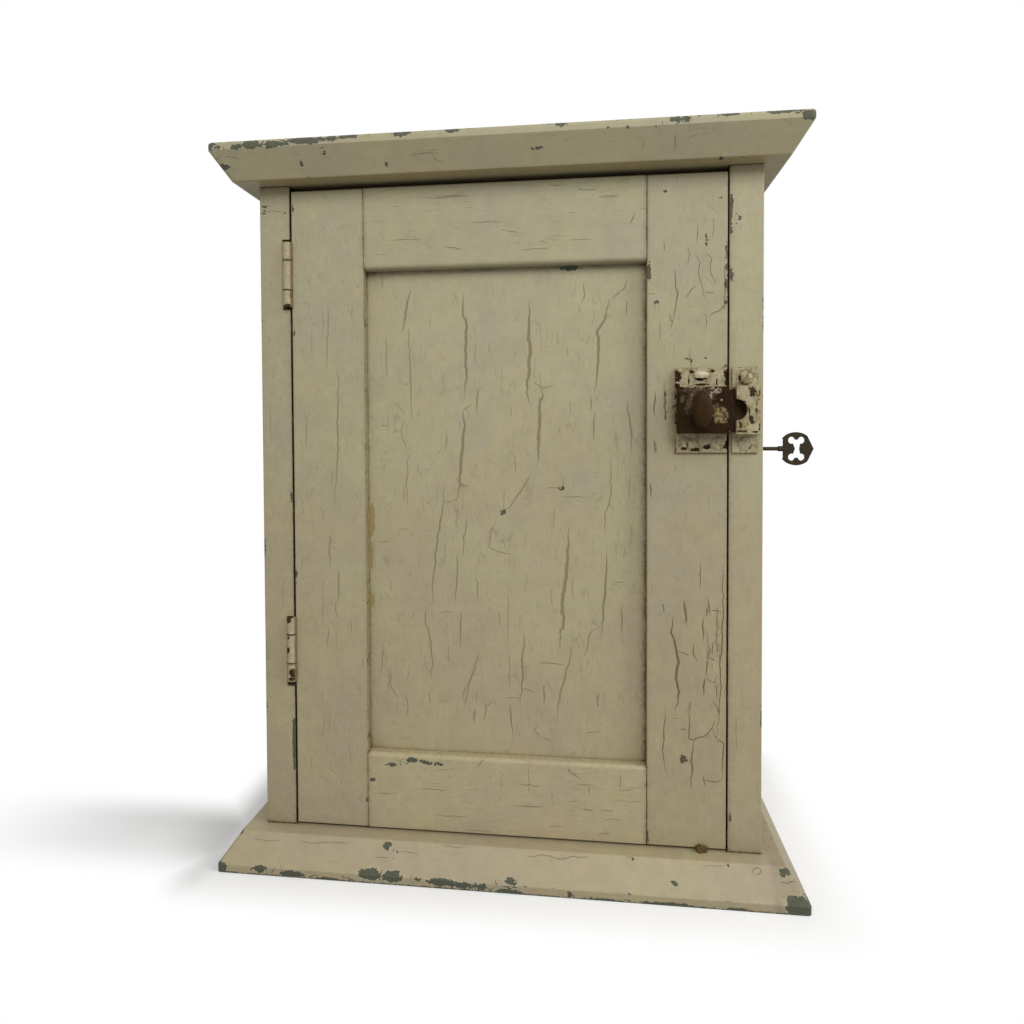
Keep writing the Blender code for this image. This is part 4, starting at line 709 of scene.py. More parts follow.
def side_outline(side):
    """Outline of a side board seen from above, running against the clock."""
    corners = ((side * OPENING, REBATE_SHOULDER), (side * REBATE_FLOOR, REBATE_SHOULDER),
               (side * REBATE_FLOOR, CARCASS_BACK), (side * CARCASS_HALF, CARCASS_BACK))
    front = ((side * CARCASS_HALF, CARCASS_FRONT), (side * OPENING, CARCASS_FRONT))
    loop = eased_line((corners[-1], *front, corners[0]), 1.6 * MM, ARRIS)
    keep = np.abs(loop[:, 1] - CARCASS_FRONT) < 1e-9
    fine = np.linspace(loop[keep][0], loop[keep][-1], 48)
    first = np.argmax(keep)
    last = len(keep) - np.argmax(keep[::-1])
    loop = np.vstack((loop[:first], fine, loop[last:], corners[1:3]))
    return loop if side < 0 else loop[::-1]


def side_shade_and_dirt(points):
    """Painted shade on a side board: brown beside the door's gap and near black on its faces inside the
    gap, dark where the board meets base and top, and more towards the lower left; and a little dirt on the
    outer arris.
    """
    x, y, z = np.moveaxis(points, -1, 0)
    deep = (y - CARCASS_FRONT) / MM
    into_gap = unit(deep / 0.08) * np.clip(1 - (deep - 7) / 5, 0.12, 1)
    into_gap = (np.abs(x) < OPENING + 0.6 * MM) * into_gap
    inner = np.exp(-np.abs(np.abs(x) - OPENING) / 0.0016) * np.where(x > 0, 0.70, 0.40) * (deep < 1)
    inner = inner + 1.5 * into_gap
    outer = np.exp(-np.abs(np.abs(x) - CARCASS_HALF) / 0.0022) * (y < CARCASS_FRONT + 1 * MM) * 0.10
    low = np.exp(-(z - SIDE_BOTTOM) / 0.010) * 0.22 + np.exp(-(z - SIDE_BOTTOM) / 0.0006) * 1.3
    high = np.exp(-(SIDE_TOP - z) / 0.005) * 0.25 + np.exp(-(SIDE_TOP - z) / 0.0006) * 1.1
    return inner + outer + low + high + lower_left_shade(x, z)


SIDE_CHIPS = {
    "left": (
        (-171.6, 472.2, 2.2, 0.8), (-172.4, 467.2, 1.6, 0.6), (-156, 467, 1.2, 0.9),
        (-153.3, 263.2, 1.4, 4.3), (-153.6, 84.4, 1.6, 21), (-175, 225.8, 1.3, 5.8), (-175, 109.6, 1.2, 4.4),
    ),
    "right": (
        (153.8, 460.3, 1.3, 6.1), (153.6, 451.3, 1.1, 3), (153.8, 443, 1.4, 4), (153.8, 414.4, 1.5, 3.5),
        (154.6, 47.3, 0.8, 2.4), (159.5, 450.4, 1.3, 1.6), (174.6, 116.9, 0.6, 5),
    ),
}
SIDE_SPLITS = {
    "left": (
        (0.5, -174, 468.5, -165, 468.9, -154, 468.4), (0.4, -169, 330, -168.6, 300),
        (0.4, -160.5, 205, -161, 180),
    ),
    "right": (
        (0.4, 168, 352, 168.5, 330), (0.4, 158, 120, 158.4, 92),
    ),
}
GREEN_ARRIS = {"left": ((395.0, 11.0), (226.0, 6.0)), "right": ((394.0, 6.0), (381.0, 5.0), (117.0, 9.0))}


def side_wear(side, x, y, z):
    """Wear of a side board: both front arrises, most at the inner one of the right board, the feet, and
    the stretches of the outer arris where it has been knocked."""
    height = z / MM
    inner = np.exp(-np.hypot(np.abs(x) - OPENING, y - CARCASS_FRONT) / 0.0011)
    outer = np.exp(-np.hypot(np.abs(x) - CARCASS_HALF, y - CARCASS_FRONT) / 0.0009)
    knocked = sum(np.exp(-((height - centre) / half) ** 4) for centre, half in GREEN_ARRIS[side])
    foot = np.exp(-(z - SIDE_BOTTOM) / 0.0011) * (0.5 + 0.4 * ripple(x / MM, 12, 20))
    rough = 0.42 + 0.38 * ripple(height, 14 if side == "left" else 15, 90)
    return np.clip(inner * rough + outer * (0.9 * knocked + 0.28) + foot, 0, 1.3)


KEYHOLE_Y, KEYHOLE_Z = -0.0470, 0.2967
KEYHOLE_RADIUS = 0.00195
KEYHOLE_SLOT = (0.0016, 0.0090)


def bore(board):
    """Cut the keyhole through a board: a round hole with a slot below it for the key's bit."""
    turn = np.radians(np.linspace(-35, 215, 28))
    half, drop = KEYHOLE_SLOT
    y = KEYHOLE_Y + np.concatenate((KEYHOLE_RADIUS * np.cos(turn), (-half, half)))
    z = KEYHOLE_Z + np.concatenate((KEYHOLE_RADIUS * np.sin(turn), (-drop, -drop)))
    cutter = skin("keyhole_cutter", np.stack([np.stack((x + 0 * y, y, z), axis=-1) for x in (0.145, 0.182)]))
    cut = board.modifiers.new("Keyhole", "BOOLEAN")
    cut.object, cut.operation, cut.solver = cutter, "DIFFERENCE", "EXACT"
    bpy.context.view_layer.update()
    shapes = bpy.context.evaluated_depsgraph_get()
    board.data = bpy.data.meshes.new_from_object(board.evaluated_get(shapes))
    board.modifiers.clear()
    bpy.data.objects.remove(cutter)
    board.data.set_sharp_from_angle(angle=np.radians(40))


for word, side in (("left", -1), ("right", 1)):
    edges = [edge for notch in BARREL_NOTCHES for edge in notch] + LEAF_EDGES if side < 0 else []
    levels = upright_levels(SIDE_BOTTOM, SIDE_TOP, 2.2 * MM, edges)
    points = upright_board(side_outline(side), levels)
    x, y, z = np.moveaxis(points, -1, 0)
    outside = (np.abs(x) > CARCASS_HALF - 0.1 * MM) & (y > CARCASS_FRONT + 0.5 * MM)
    across = np.where(outside, side * (CARCASS_HALF + y - CARCASS_FRONT), x) / MM
    shown = (outside | (y < CARCASS_FRONT + 0.1 * MM)).astype(float)
    face = sorted((side * 178, side * 370)) + [30, 480]
    strewn = wandering_lines(91 + side, 46, face, (12, 70), (0.4, 1.5))
    upright, level = split_by_slope([*SIDE_SPLITS[word], *strewn])
    level = level + wandering_lines(95 + side, 26, face, (3, 9), (0.3, 0.8), False)
    chips = (SIDE_CHIPS[word] + strewn_chips(97 + side, 9, face, (0.5, 1.8))
             + strewn_chips(44 + side, 5, sorted((side * 176, side * 179)) + [30, 480], (0.7, 2.4)))
    points, fields = cracked(points, across, z / MM, upright, level, chips, 2.2, 0, shown)
    fields["grime"] = side_shade_and_dirt(points)
    fields["wear"] = side_wear(word, *np.moveaxis(points, -1, 0))
    if side < 0:
        x, y, z = np.moveaxis(points, -1, 0)
        for low, high in BARREL_NOTCHES:
            floor = HINGE_Y + BARREL_NOTCH_DEPTH
            cut = (z > low) & (z < high) & (x > HINGE_X - BARREL_NOTCH_DEPTH) & (y < floor)
            y[cut] = floor
            # Near black inside the barrel notches: painted shade.
            fields["grime"][cut] = 1.35
        for centre in HINGE_CENTRES:
            cut = (np.abs(z - centre) < HINGE_HALF + LEAF_PLAY) & (x > -OPENING - 0.2 * MM) & (y < LEAF_BACK)
            x[cut] = -OPENING - LEAF_MORTISE
    board = skin(f"side_{word}_painted", points, fields)
    if side > 0:
        bore(board)
    # shade 0.965 dims both boards: painted shade.
    board.data.materials.append(painted_wood(f"Side board {word} paint", GRAIN_UPRIGHT, 0.965, 0.06,
                                             SIDE_UNDER[word], hairs=0.7))
    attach(board, "carcass")
    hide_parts(f"side_{word}")

# Back, shelves and battens. Lining boards, two loose shelves on battens and the stop under the
# top board, all pine, all under the same old cream, which has stayed cleaner in the dark.

INSIDE = (
    ("Back lining paint", GRAIN_UPRIGHT, [f"back_board_{count}" for count in (1, 2, 3, 4)]),
    ("Shelf paint", (0.10, 1.0, 1.0), ["shelf_lower", "shelf_upper"]),
    ("Batten paint", (0.35, 0.35, 1.0), ["door_stop", "shelf_batten_lower_left", "shelf_batten_lower_right",
                                         "shelf_batten_upper_left", "shelf_batten_upper_right"]),
)


def finish_nodes(material, *names):
    """Give CAD nodes one material in place of their own."""
    for name in names:
        nodes[name].data.materials.clear()
        nodes[name].data.materials.append(material)


for name, grain, members in INSIDE:
    finish_nodes(painted_wood(name, grain, 0.96, 0.06, hairs=2.0, worn=0.30), *members)

# Door stiles. Two upright pieces 53 mm wide and 19 mm thick, grooved for the panel and mortised
# for the rails. The right one has cracked worst: long splits with short ones running between
# them, and a ragged line down its closing arris.

DOOR_LEFT, DOOR_RIGHT = -0.1516, 0.1519
DOOR_BOTTOM, DOOR_TOP = 0.0250, 0.4822
DOOR_BACK = -0.0660
PANEL_LEFT, PANEL_RIGHT = -0.0986, 0.0989
PANEL_BOTTOM, PANEL_TOP = 0.0795, 0.4245
GROOVE_FRONT, GROOVE_BACK = -0.0773, -0.0703
GROOVE_DEPTH = 0.0080
MORTISE_DEPTH = 0.0323
CLOSING_BEVEL = 0.6 * MM
TENON_SPANS = ((0.0367, 0.0715), (0.4325, 0.4705))
STAIN = ((0.1177, 0.3030), (0.1720, 0.3440))
STILE_SPLITS = {
    "left": (
        (0.9, -124.3, 404.9, -126, 368.6, -127, 353),
        (1.2, -119.5, 359.3, -118, 342.9, -118.1, 333.6, -119.2, 317.2, -119, 299.3, -119.6, 282.8, -120.9,
         270.6, -121.7, 253.3), (0.7, -141.6, 323.8, -141.9, 310.1, -142.4, 297.1),
        (0.7, -123.1, 282.8, -123.7, 269.8), (1.2, -124.4, 238.1, -125.5, 226.6, -125.8, 211.4),
        (1.4, -119.2, 211.5, -118.7, 201.4, -118.8, 185.5), (1, -121.8, 188.3, -121.1, 176),
        (0.6, -130.4, 188.1, -131.3, 168.4), (0.8, -127, 169.3, -127.7, 154.7),
        (0.6, -109.8, 174.9, -109.7, 165.5), (0.6, -128.8, 67.3, -121.9, 61.7),
        (0.6, -130.1, 254.7, -130.2, 246.7), (0.8, -101.4, 149.1, -101.8, 139.6),
        (0.6, -117.9, 59.5, -118.8, 52.8), (0.5, -136.9, 383.1, -137.3, 367.4),
        (0.5, -107, 403.7, -107.2, 388.1),
    ),
    "right": (
        (0.8, 116.7, 419.8, 119.1, 400.4, 116.1, 383), (0.45, 131.7, 449.2, 132.4, 442.6, 131.1, 434.7),
        (0.4, 137.6, 442.4, 138.3, 433.1), (0.4, 142.1, 453.5, 142.8, 444.8, 141.5, 436.9),
        (0.5, 129.1, 430.8, 133.7, 422.6, 132.4, 416, 133.7, 413.3, 135.7, 402.6, 137.7, 395.9),
        (0.5, 136.3, 430.5, 141.5, 425, 140.2, 415.8, 144.8, 406.3),
        (0.45, 123.3, 397.6, 127.2, 402.9, 131.8, 408.1),
        (0.55, 139, 383.9, 141, 387.8, 148.1, 390.3, 151.3, 398.2),
        (0.4, 124.6, 418.9, 127.2, 426.8, 125.9, 434.9), (0.6, 149.3, 422.1, 150, 406.9, 148.8, 389),
        (0.35, 110.1, 438.1, 110.8, 430.1), (0.45, 112.8, 389.9, 115.5, 383.1, 114.2, 377.8),
        (0.45, 136.4, 389.3, 138.4, 382.6, 137.8, 377.2), (0.4, 135.7, 402.6, 144.2, 402.4),
        (1.2, 110.7, 338.8, 110.1, 326.1, 111.1, 317.8), (0.8, 104.3, 337.5, 104, 319.2),
        (1, 101.2, 274.5, 101.9, 264.3), (0.6, 103.1, 304.3, 104, 293.5), (0.9, 109, 192.7, 110.5, 185.9),
        (1.4, 124.2, 195.1, 124.9, 184.6, 125.3, 177.4),
        (1.7, 116.6, 184, 115.4, 172.6, 117.9, 164.8, 119.2, 159.4, 119.7, 151.3, 118.5, 140.9, 120.5, 130.6,
         119.7, 123, 118, 118.1), (0.7, 119.5, 160.8, 125.6, 158.5, 128.1, 157),
        (0.8, 130, 165.9, 130, 157.3, 133.2, 152.4), (1, 136.3, 183.2, 136.5, 167.5),
        (0.8, 139.3, 197.5, 141.3, 184.7), (0.6, 141.3, 188.3, 148.8, 187.8),
        (0.9, 149.3, 222.8, 149, 205.9, 149.5, 191.7, 149.2, 177.4, 148.7, 163.1, 147.3, 152.2, 148.3, 134.5,
         147.2, 123.5, 146.8, 113.9, 145.6, 100.2), (0.7, 140.1, 156.7, 144.5, 154.4),
        (0.6, 140.3, 164.2, 140.1, 157.4), (1.1, 137.7, 142.3, 136.8, 130.6),
        (0.8, 139.7, 159.4, 139, 151.9, 138.6, 142.3), (0.6, 138.7, 142.3, 145, 139.1),
        (0.8, 126.3, 122.6, 127.7, 111.4, 126.7, 99.5, 131.3, 100.4, 138.5, 103, 142, 107.6, 145.6, 115.9),
        (0.8, 142, 107.6, 145.6, 100.4, 149.9, 99, 149.9, 82.7, 149.3, 73),
        (1, 130.5, 100.8, 129.2, 87.7, 128.5, 75.7, 128.2, 64.9),
        (0.8, 111.8, 120.6, 110.3, 104.7, 109.6, 89.7, 111.9, 75),
        (0.7, 137.1, 71.6, 145.7, 71.4, 149.3, 73.7), (0.6, 120.6, 106.6, 126.2, 106.5),
        (0.6, 142.4, 127.4, 145, 123.4, 146.4, 118), (0.6, 136.6, 75.7, 137.9, 67.5),
        (0.7, 138.6, 190.7, 138.3, 183.9), (0.6, 134.2, 222.5, 134.9, 202.2),
        (0.6, 127.8, 126.8, 128.5, 118.6), (0.7, 146.1, 192.9, 145.5, 168.5, 146.2, 154.9),
        (0.6, 143.2, 168.4, 142.3, 157.5), (0.6, 144.3, 143.9, 145.7, 127.6),
    ),
}
STILE_CHIPS = {
    "left": (
        (-99.6, 44.8, 0.8, 2.8), (-150.3, 469.9, 1, 2.5), (-150.6, 206.5, 1, 3.6), (-150.2, 380.5, 0.9, 2.9),
    ),
    "right": (
        (104.9, 396.9, 2.2, 1.3), (100.2, 417, 1.5, 6), (137.6, 439.7, 1, 1.3), (137.8, 434.4, 0.8, 1.3),
        (125.4, 358.4, 1.3, 0.6), (128.2, 356.5, 0.7, 1.5), (137.6, 358.8, 0.9, 0.7),
        (150.3, 352.6, 1.6, 1.2), (151, 431.6, 1, 3), (151, 419.4, 0.8, 2.6), (151, 406.1, 1, 4),
        (146.6, 464.8, 1.3, 1), (110.7, 470.3, 1.3, 1), (99.6, 30.6, 0.8, 2.7), (123.4, 86, 2.5, 2.6),
        (151, 395.5, 1, 1.3), (116.6, 325.2, 0.8, 1.8), (111.3, 321.2, 0.5, 3.2), (111.1, 334.5, 0.5, 2.4),
    ),
}


def ease_ends(points):
    """Round the ends of a stile over: close to both ends, everything on its front moves back along Y."""
    y, z = points[..., 1], points[..., 2]
    from_end = np.minimum(z - z.min(), z.max() - z)
    y += 0.45 * MM * unit(1 - from_end / (0.8 * MM)) ** 2 * (y < GROOVE_FRONT - 1 * MM)
    return points


def stile_outline(inner, outer, bevel):
    """Outline of a stile seen from above, running against the clock, with its front closely sampled and
    the panel's groove in its inner edge."""
    way = 1 if inner > outer else -1
    floor = inner - way * GROOVE_DEPTH
    start = (outer + way * bevel * 0.5, -0.075)
    corners = (start, (outer, CARCASS_FRONT), (inner, CARCASS_FRONT), (inner, GROOVE_FRONT))
    front = eased_line(corners, 0.5 * MM, ARRIS)
    edge = outer + way * bevel
    rest = ((floor, GROOVE_FRONT), (floor, GROOVE_BACK), (inner, GROOVE_BACK), (inner, DOOR_BACK),
            ((inner + outer) / 2, DOOR_BACK), (edge, DOOR_BACK), (edge, LEAF_BACK),
            (edge, LEAF_BACK - 0.01 * MM))
    loop = np.vstack((front, rest))
    return loop if way > 0 else loop[::-1]


def latch_stain(x, z):
    """Brown stain round the latch, widest to its left."""
    (low_x, low_z), (high_x, high_z) = STAIN
    beside = np.maximum(low_x - x, x - high_x) / 0.0040
    above = np.maximum(low_z - z, z - high_z) / 0.0035
    return 1.2 * np.exp(-np.clip(np.hypot(np.clip(beside, 0, None), np.clip(above, 0, None)), 0, 9))


def frame_dirt_and_shade(x, y, z):
    """Dirt and painted shade on the door's frame: dirt in the joints along the panel's edge and a stain by
    the latch; painted shade along the outer gaps, a little at the ends, near black on the faces inside
    the gaps, and more towards the lower left.
    """
    joints = np.minimum(np.abs(x - PANEL_LEFT), np.abs(x - PANEL_RIGHT))
    joint_line = np.where((z < PANEL_BOTTOM) | (z > PANEL_TOP), 0.85 + 0.35 * ripple(z / MM, 77, 60), 0.40)
    gaps = np.minimum(np.abs(x - DOOR_LEFT), np.abs(x - DOOR_RIGHT))
    ends = np.minimum(z - DOOR_BOTTOM, DOOR_TOP - z)
    beside = np.minimum(gaps, ends)
    into_gap = (beside < 0.55 * MM) * unit((y - CARCASS_FRONT - 0.03 * MM) / (0.12 * MM))
    shown = y < GROOVE_FRONT + 0.01 * MM
    marks = joint_line * np.exp(-joints / 0.0008) + 0.30 * np.exp(-gaps / 0.0009)
    marks = marks + 0.08 * np.exp(-ends / 0.003)
    return shown * (marks + latch_stain(x, z)) + 1.5 * into_gap * (y < -0.070) + lower_left_shade(x, z)


def frame_wear(x, y, z):
    """Wear of the door's frame: its outer arrises, the top more than the rest, and the arrises of the
    panel's opening."""
    outer_x = np.minimum(np.abs(x - DOOR_LEFT), np.abs(x - DOOR_RIGHT))
    outer_z = np.minimum(z - DOOR_BOTTOM, DOOR_TOP - z)
    inner_x = np.minimum(np.abs(x - PANEL_LEFT), np.abs(x - PANEL_RIGHT))
    edge = np.exp(-np.minimum(outer_x, outer_z) / 0.0007) * np.exp(-(y - CARCASS_FRONT) / 0.0012)
    within = (z > PANEL_BOTTOM - 0.002) & (z < PANEL_TOP + 0.002)
    inner = np.exp(-inner_x / 0.0006) * within * (y < GROOVE_FRONT + 0.01 * MM)
    rough = 0.42 + 0.40 * ripple(z / MM, 18, 70)
    closing = np.exp(-((z - 0.420) / 0.020) ** 4) * np.exp(-np.abs(x - DOOR_RIGHT) / 0.0009) * 0.5
    return np.clip(edge * rough + inner * (0.25 + 0.35 * ripple(z / MM, 19, 50)) + closing, 0, 1.2)


STILE_WOOD = (0.100, 0.077, 0.040, 1)
DUSTY_SPLITS = (0.255, 0.220, 0.140, 1)
DARK_SPLITS = (0.150, 0.120, 0.062, 1)
# The sixth value, shade, dims the right stile more than the left: painted shade.
STILES = (("left", PANEL_LEFT, DOOR_LEFT, 0.0, 4, 0.99, DUSTY_SPLITS),
          ("right", PANEL_RIGHT, DOOR_RIGHT, CLOSING_BEVEL, 9, 0.92, DARK_SPLITS))

for word, inner, outer, bevel, seed, shade, in_splits in STILES:
    way = 1 if inner > outer else -1
    edges = [edge for span in TENON_SPANS for edge in span] + LEAF_EDGES
    levels = upright_levels(DOOR_BOTTOM, DOOR_TOP, 1.2 * MM, edges)
    points = ease_ends(upright_board(stile_outline(inner, outer, bevel), levels))
    x, y, z = np.moveaxis(points, -1, 0)
    for low, high in TENON_SPANS:
        deep = (z > low) & (z < high) & (np.abs(x - (inner - way * GROOVE_DEPTH)) < 1e-6)
        x[deep] = inner - way * MORTISE_DEPTH
    if word == "left":
        for centre in HINGE_CENTRES:
            cut = (np.abs(z - centre) < HINGE_HALF + LEAF_PLAY) & (x < outer + ARRIS)
            x[cut & (y < LEAF_BACK - 0.005 * MM)] = outer + LEAF_MORTISE
    shown = (y < CARCASS_FRONT + 0.7 * MM).astype(float)
    low_u, high_u = sorted((inner / MM, outer / MM))
    strewn = wandering_lines(seed, 22, (low_u, high_u, 30, 470), (6, 24), (0.16, 0.42))
    upright, level = split_by_slope([*STILE_SPLITS[word], *strewn])
    level = level + wandering_lines(seed + 50, 10, (low_u, high_u - 8, 30, 470), (3, 7), (0.14, 0.3), False)
    points, fields = cracked(points, x / MM, z / MM, upright, level, STILE_CHIPS[word], 1.2, 0.35, shown)
    fields["grime"] = frame_dirt_and_shade(x, y, z)
    fields["wear"] = frame_wear(x, y, z)
    board = skin(f"door_stile_{word}_painted", points, fields)
    board.data.materials.append(painted_wood(f"Stile {word} paint", GRAIN_UPRIGHT, shade, 0.12,
                                             SIDE_UNDER[word], STILE_WOOD, 0.8, in_splits))
    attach(board, "door")
    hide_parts(f"door_stile_{word}")

# Door rails. The top rail is 58 mm wide and the bottom one 54 mm. Each is rounded over towards
# the panel and tenoned into the stiles, so its grain and its thin cracks run level.

RAIL_ROUND = 0.0032
SHOULDERS = (-0.0983, 0.0986)
TENON = 0.0317
RAIL_SPLITS = {
    "top": (
        (0.7, -56.9, 473.4, -39.4, 472.9, -20.3, 472.9), (0.9, -40.6, 439.2, -26.9, 436.7),
        (0.9, 87.1, 449, 90.7, 456.9), (0.6, -0.9, 449.7, 13, 446.4), (0.5, -21.8, 455.3, 2.6, 455),
        (0.5, 44.5, 440.5, 64.8, 440.7), (0.5, -79, 445, -53.8, 444.8), (0.6, 66.2, 468.6, 80.9, 469.3),
        (0.5, 12.9, 434.8, 34.9, 435.4), (0.5, 50.7, 477.4, 54.1, 473.9, 67.5, 474),
        (0.5, 94.2, 460.1, 99.5, 458.5),
    ),
    "bottom": (
        (0.7, 45.3, 77.1, 47.6, 71.2, 55.1, 68.4), (0.9, 6.5, 46.5, 27.9, 46.8),
        (0.9, 53.4, 47.2, 63.2, 47.1), (0.7, 67.1, 47, 76.7, 47.2), (0.8, 58.6, 64.4, 60.6, 57.5),
        (0.7, 81.2, 73.3, 81.2, 62.9), (0.6, 79.5, 61.7, 89.7, 62.9), (0.6, 51.3, 64.4, 61, 64.9),
        (0.6, 33.2, 58, 33.9, 52.4), (0.6, 45.8, 51.9, 52.7, 52.8), (0.5, 30.1, 33.7, 42.9, 33.8),
        (0.6, 67.1, 31.2, 74.4, 31.3), (0.5, -96.8, 49.7, -75.7, 50.6), (0.6, -60.3, 55.4, -40.6, 55.1),
        (0.5, -1.9, 63.8, -1.2, 59.6), (0.5, -29.3, 27, -6.3, 27.1), (0.6, 11.5, 61.7, 26.3, 61.8),
        (0.5, -53.1, 36.3, -24.2, 37.1), (0.5, 17.9, 76.2, 17.6, 54.9),
        (0.6, -14.6, 80.2, -16.8, 75.1, -21.1, 71.3),
    ),
}
RAIL_CHIPS = {
    "top": (
        (47.9, 422.4, 5.4, 1.3),
    ),
    "bottom": (
        (-79.7, 71.4, 5.6, 1.5), (-66.2, 75.4, 4.8, 1.6), (-55.7, 74.1, 3, 1.3), (-46.1, 73.3, 4.3, 1.2),
        (-93.9, 59.8, 2.9, 1.1),
    ),
}


def rail_outline(inner, outer):
    """Outline of a rail in Y and Z seen from the right, running against the clock. Its front is closely
    sampled and rounded over towards the panel, and its inner edge has the panel's groove."""
    way = 1 if inner > outer else -1
    floor = inner - way * GROOVE_DEPTH
    turn = np.radians(np.linspace(0, 90, 9))
    corner = np.stack((CARCASS_FRONT + RAIL_ROUND * (1 - np.sin(turn)),
                       inner - way * RAIL_ROUND * (1 - np.cos(turn))), axis=1)
    corners = ((DOOR_BACK + 3 * MM, outer), (CARCASS_FRONT, outer), (CARCASS_FRONT, inner - way * RAIL_ROUND))
    flat = eased_line(corners, 0.5 * MM, ARRIS)
    rest = ((GROOVE_FRONT, inner), (GROOVE_FRONT, floor), (GROOVE_BACK, floor), (GROOVE_BACK, inner),
            (DOOR_BACK, inner), (DOOR_BACK, outer))
    loop = np.vstack((flat[:-1], corner[::-1], rest))
    return loop if way < 0 else loop[::-1]


# The sixth value, shade, dims the top rail and lightens the bottom one: painted light and shade.
RAILS = (("top", PANEL_TOP, DOOR_TOP, (0.4328, 0.4702), 21, 0.94),
         ("bottom", PANEL_BOTTOM, DOOR_BOTTOM, (0.0370, 0.0712), 33, 1.06))

for word, inner, outer, tenon, seed, shade in RAILS:
    outline = rail_outline(inner, outer)
    stations = np.linspace(*SHOULDERS, 80)
    stations = np.concatenate(((SHOULDERS[0] - TENON, SHOULDERS[0] - 0.01 * MM), stations,
                               (SHOULDERS[1] + 0.01 * MM, SHOULDERS[1] + TENON)))
    points = np.empty((len(stations), len(outline), 3))
    points[..., 0] = stations[:, None]
    points[..., 1:] = outline
    x, y, z = np.moveaxis(points, -1, 0)
    shown = (y < CARCASS_FRONT + RAIL_ROUND).astype(float)
    face = (-98, 86, *sorted((inner / MM, outer / MM)))
    strewn = wandering_lines(seed, 22, face, (5, 24), (0.14, 0.36), False)
    upright, level = split_by_slope([*RAIL_SPLITS[word], *strewn])
    points, fields = cracked(points, x / MM, z / MM, upright, level, RAIL_CHIPS[word], 2.0, 0, shown)
    # The band along the rail's edge by the panel is painted shade.
    fields["grime"] = frame_dirt_and_shade(x, y, z) + 0.25 * np.exp(-np.abs(z - inner) / 0.0016)
    fields["wear"] = frame_wear(x, y, z)
    x, y, z = np.moveaxis(points, -1, 0)
    beyond = (x < SHOULDERS[0] - 0.005 * MM) | (x > SHOULDERS[1] + 0.005 * MM)
    y[beyond] = np.clip(y[beyond], GROOVE_FRONT + LEAF_PLAY, GROOVE_BACK - LEAF_PLAY)
    z[beyond] = np.clip(z[beyond], *tenon)
    board = skin(f"door_rail_{word}_painted", points, fields)
    board.data.materials.append(painted_wood(f"Rail {word} paint", GRAIN_LEVEL, shade, 0.03, hairs=0.7))
    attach(board, "door")
    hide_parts(f"door_rail_{word}")

# Door panel. One thin board loose in the frame's grooves. It has shrunk and pulled its paint
# into long upright splits, wide in the middle and pointed at both ends, with finer ones between.

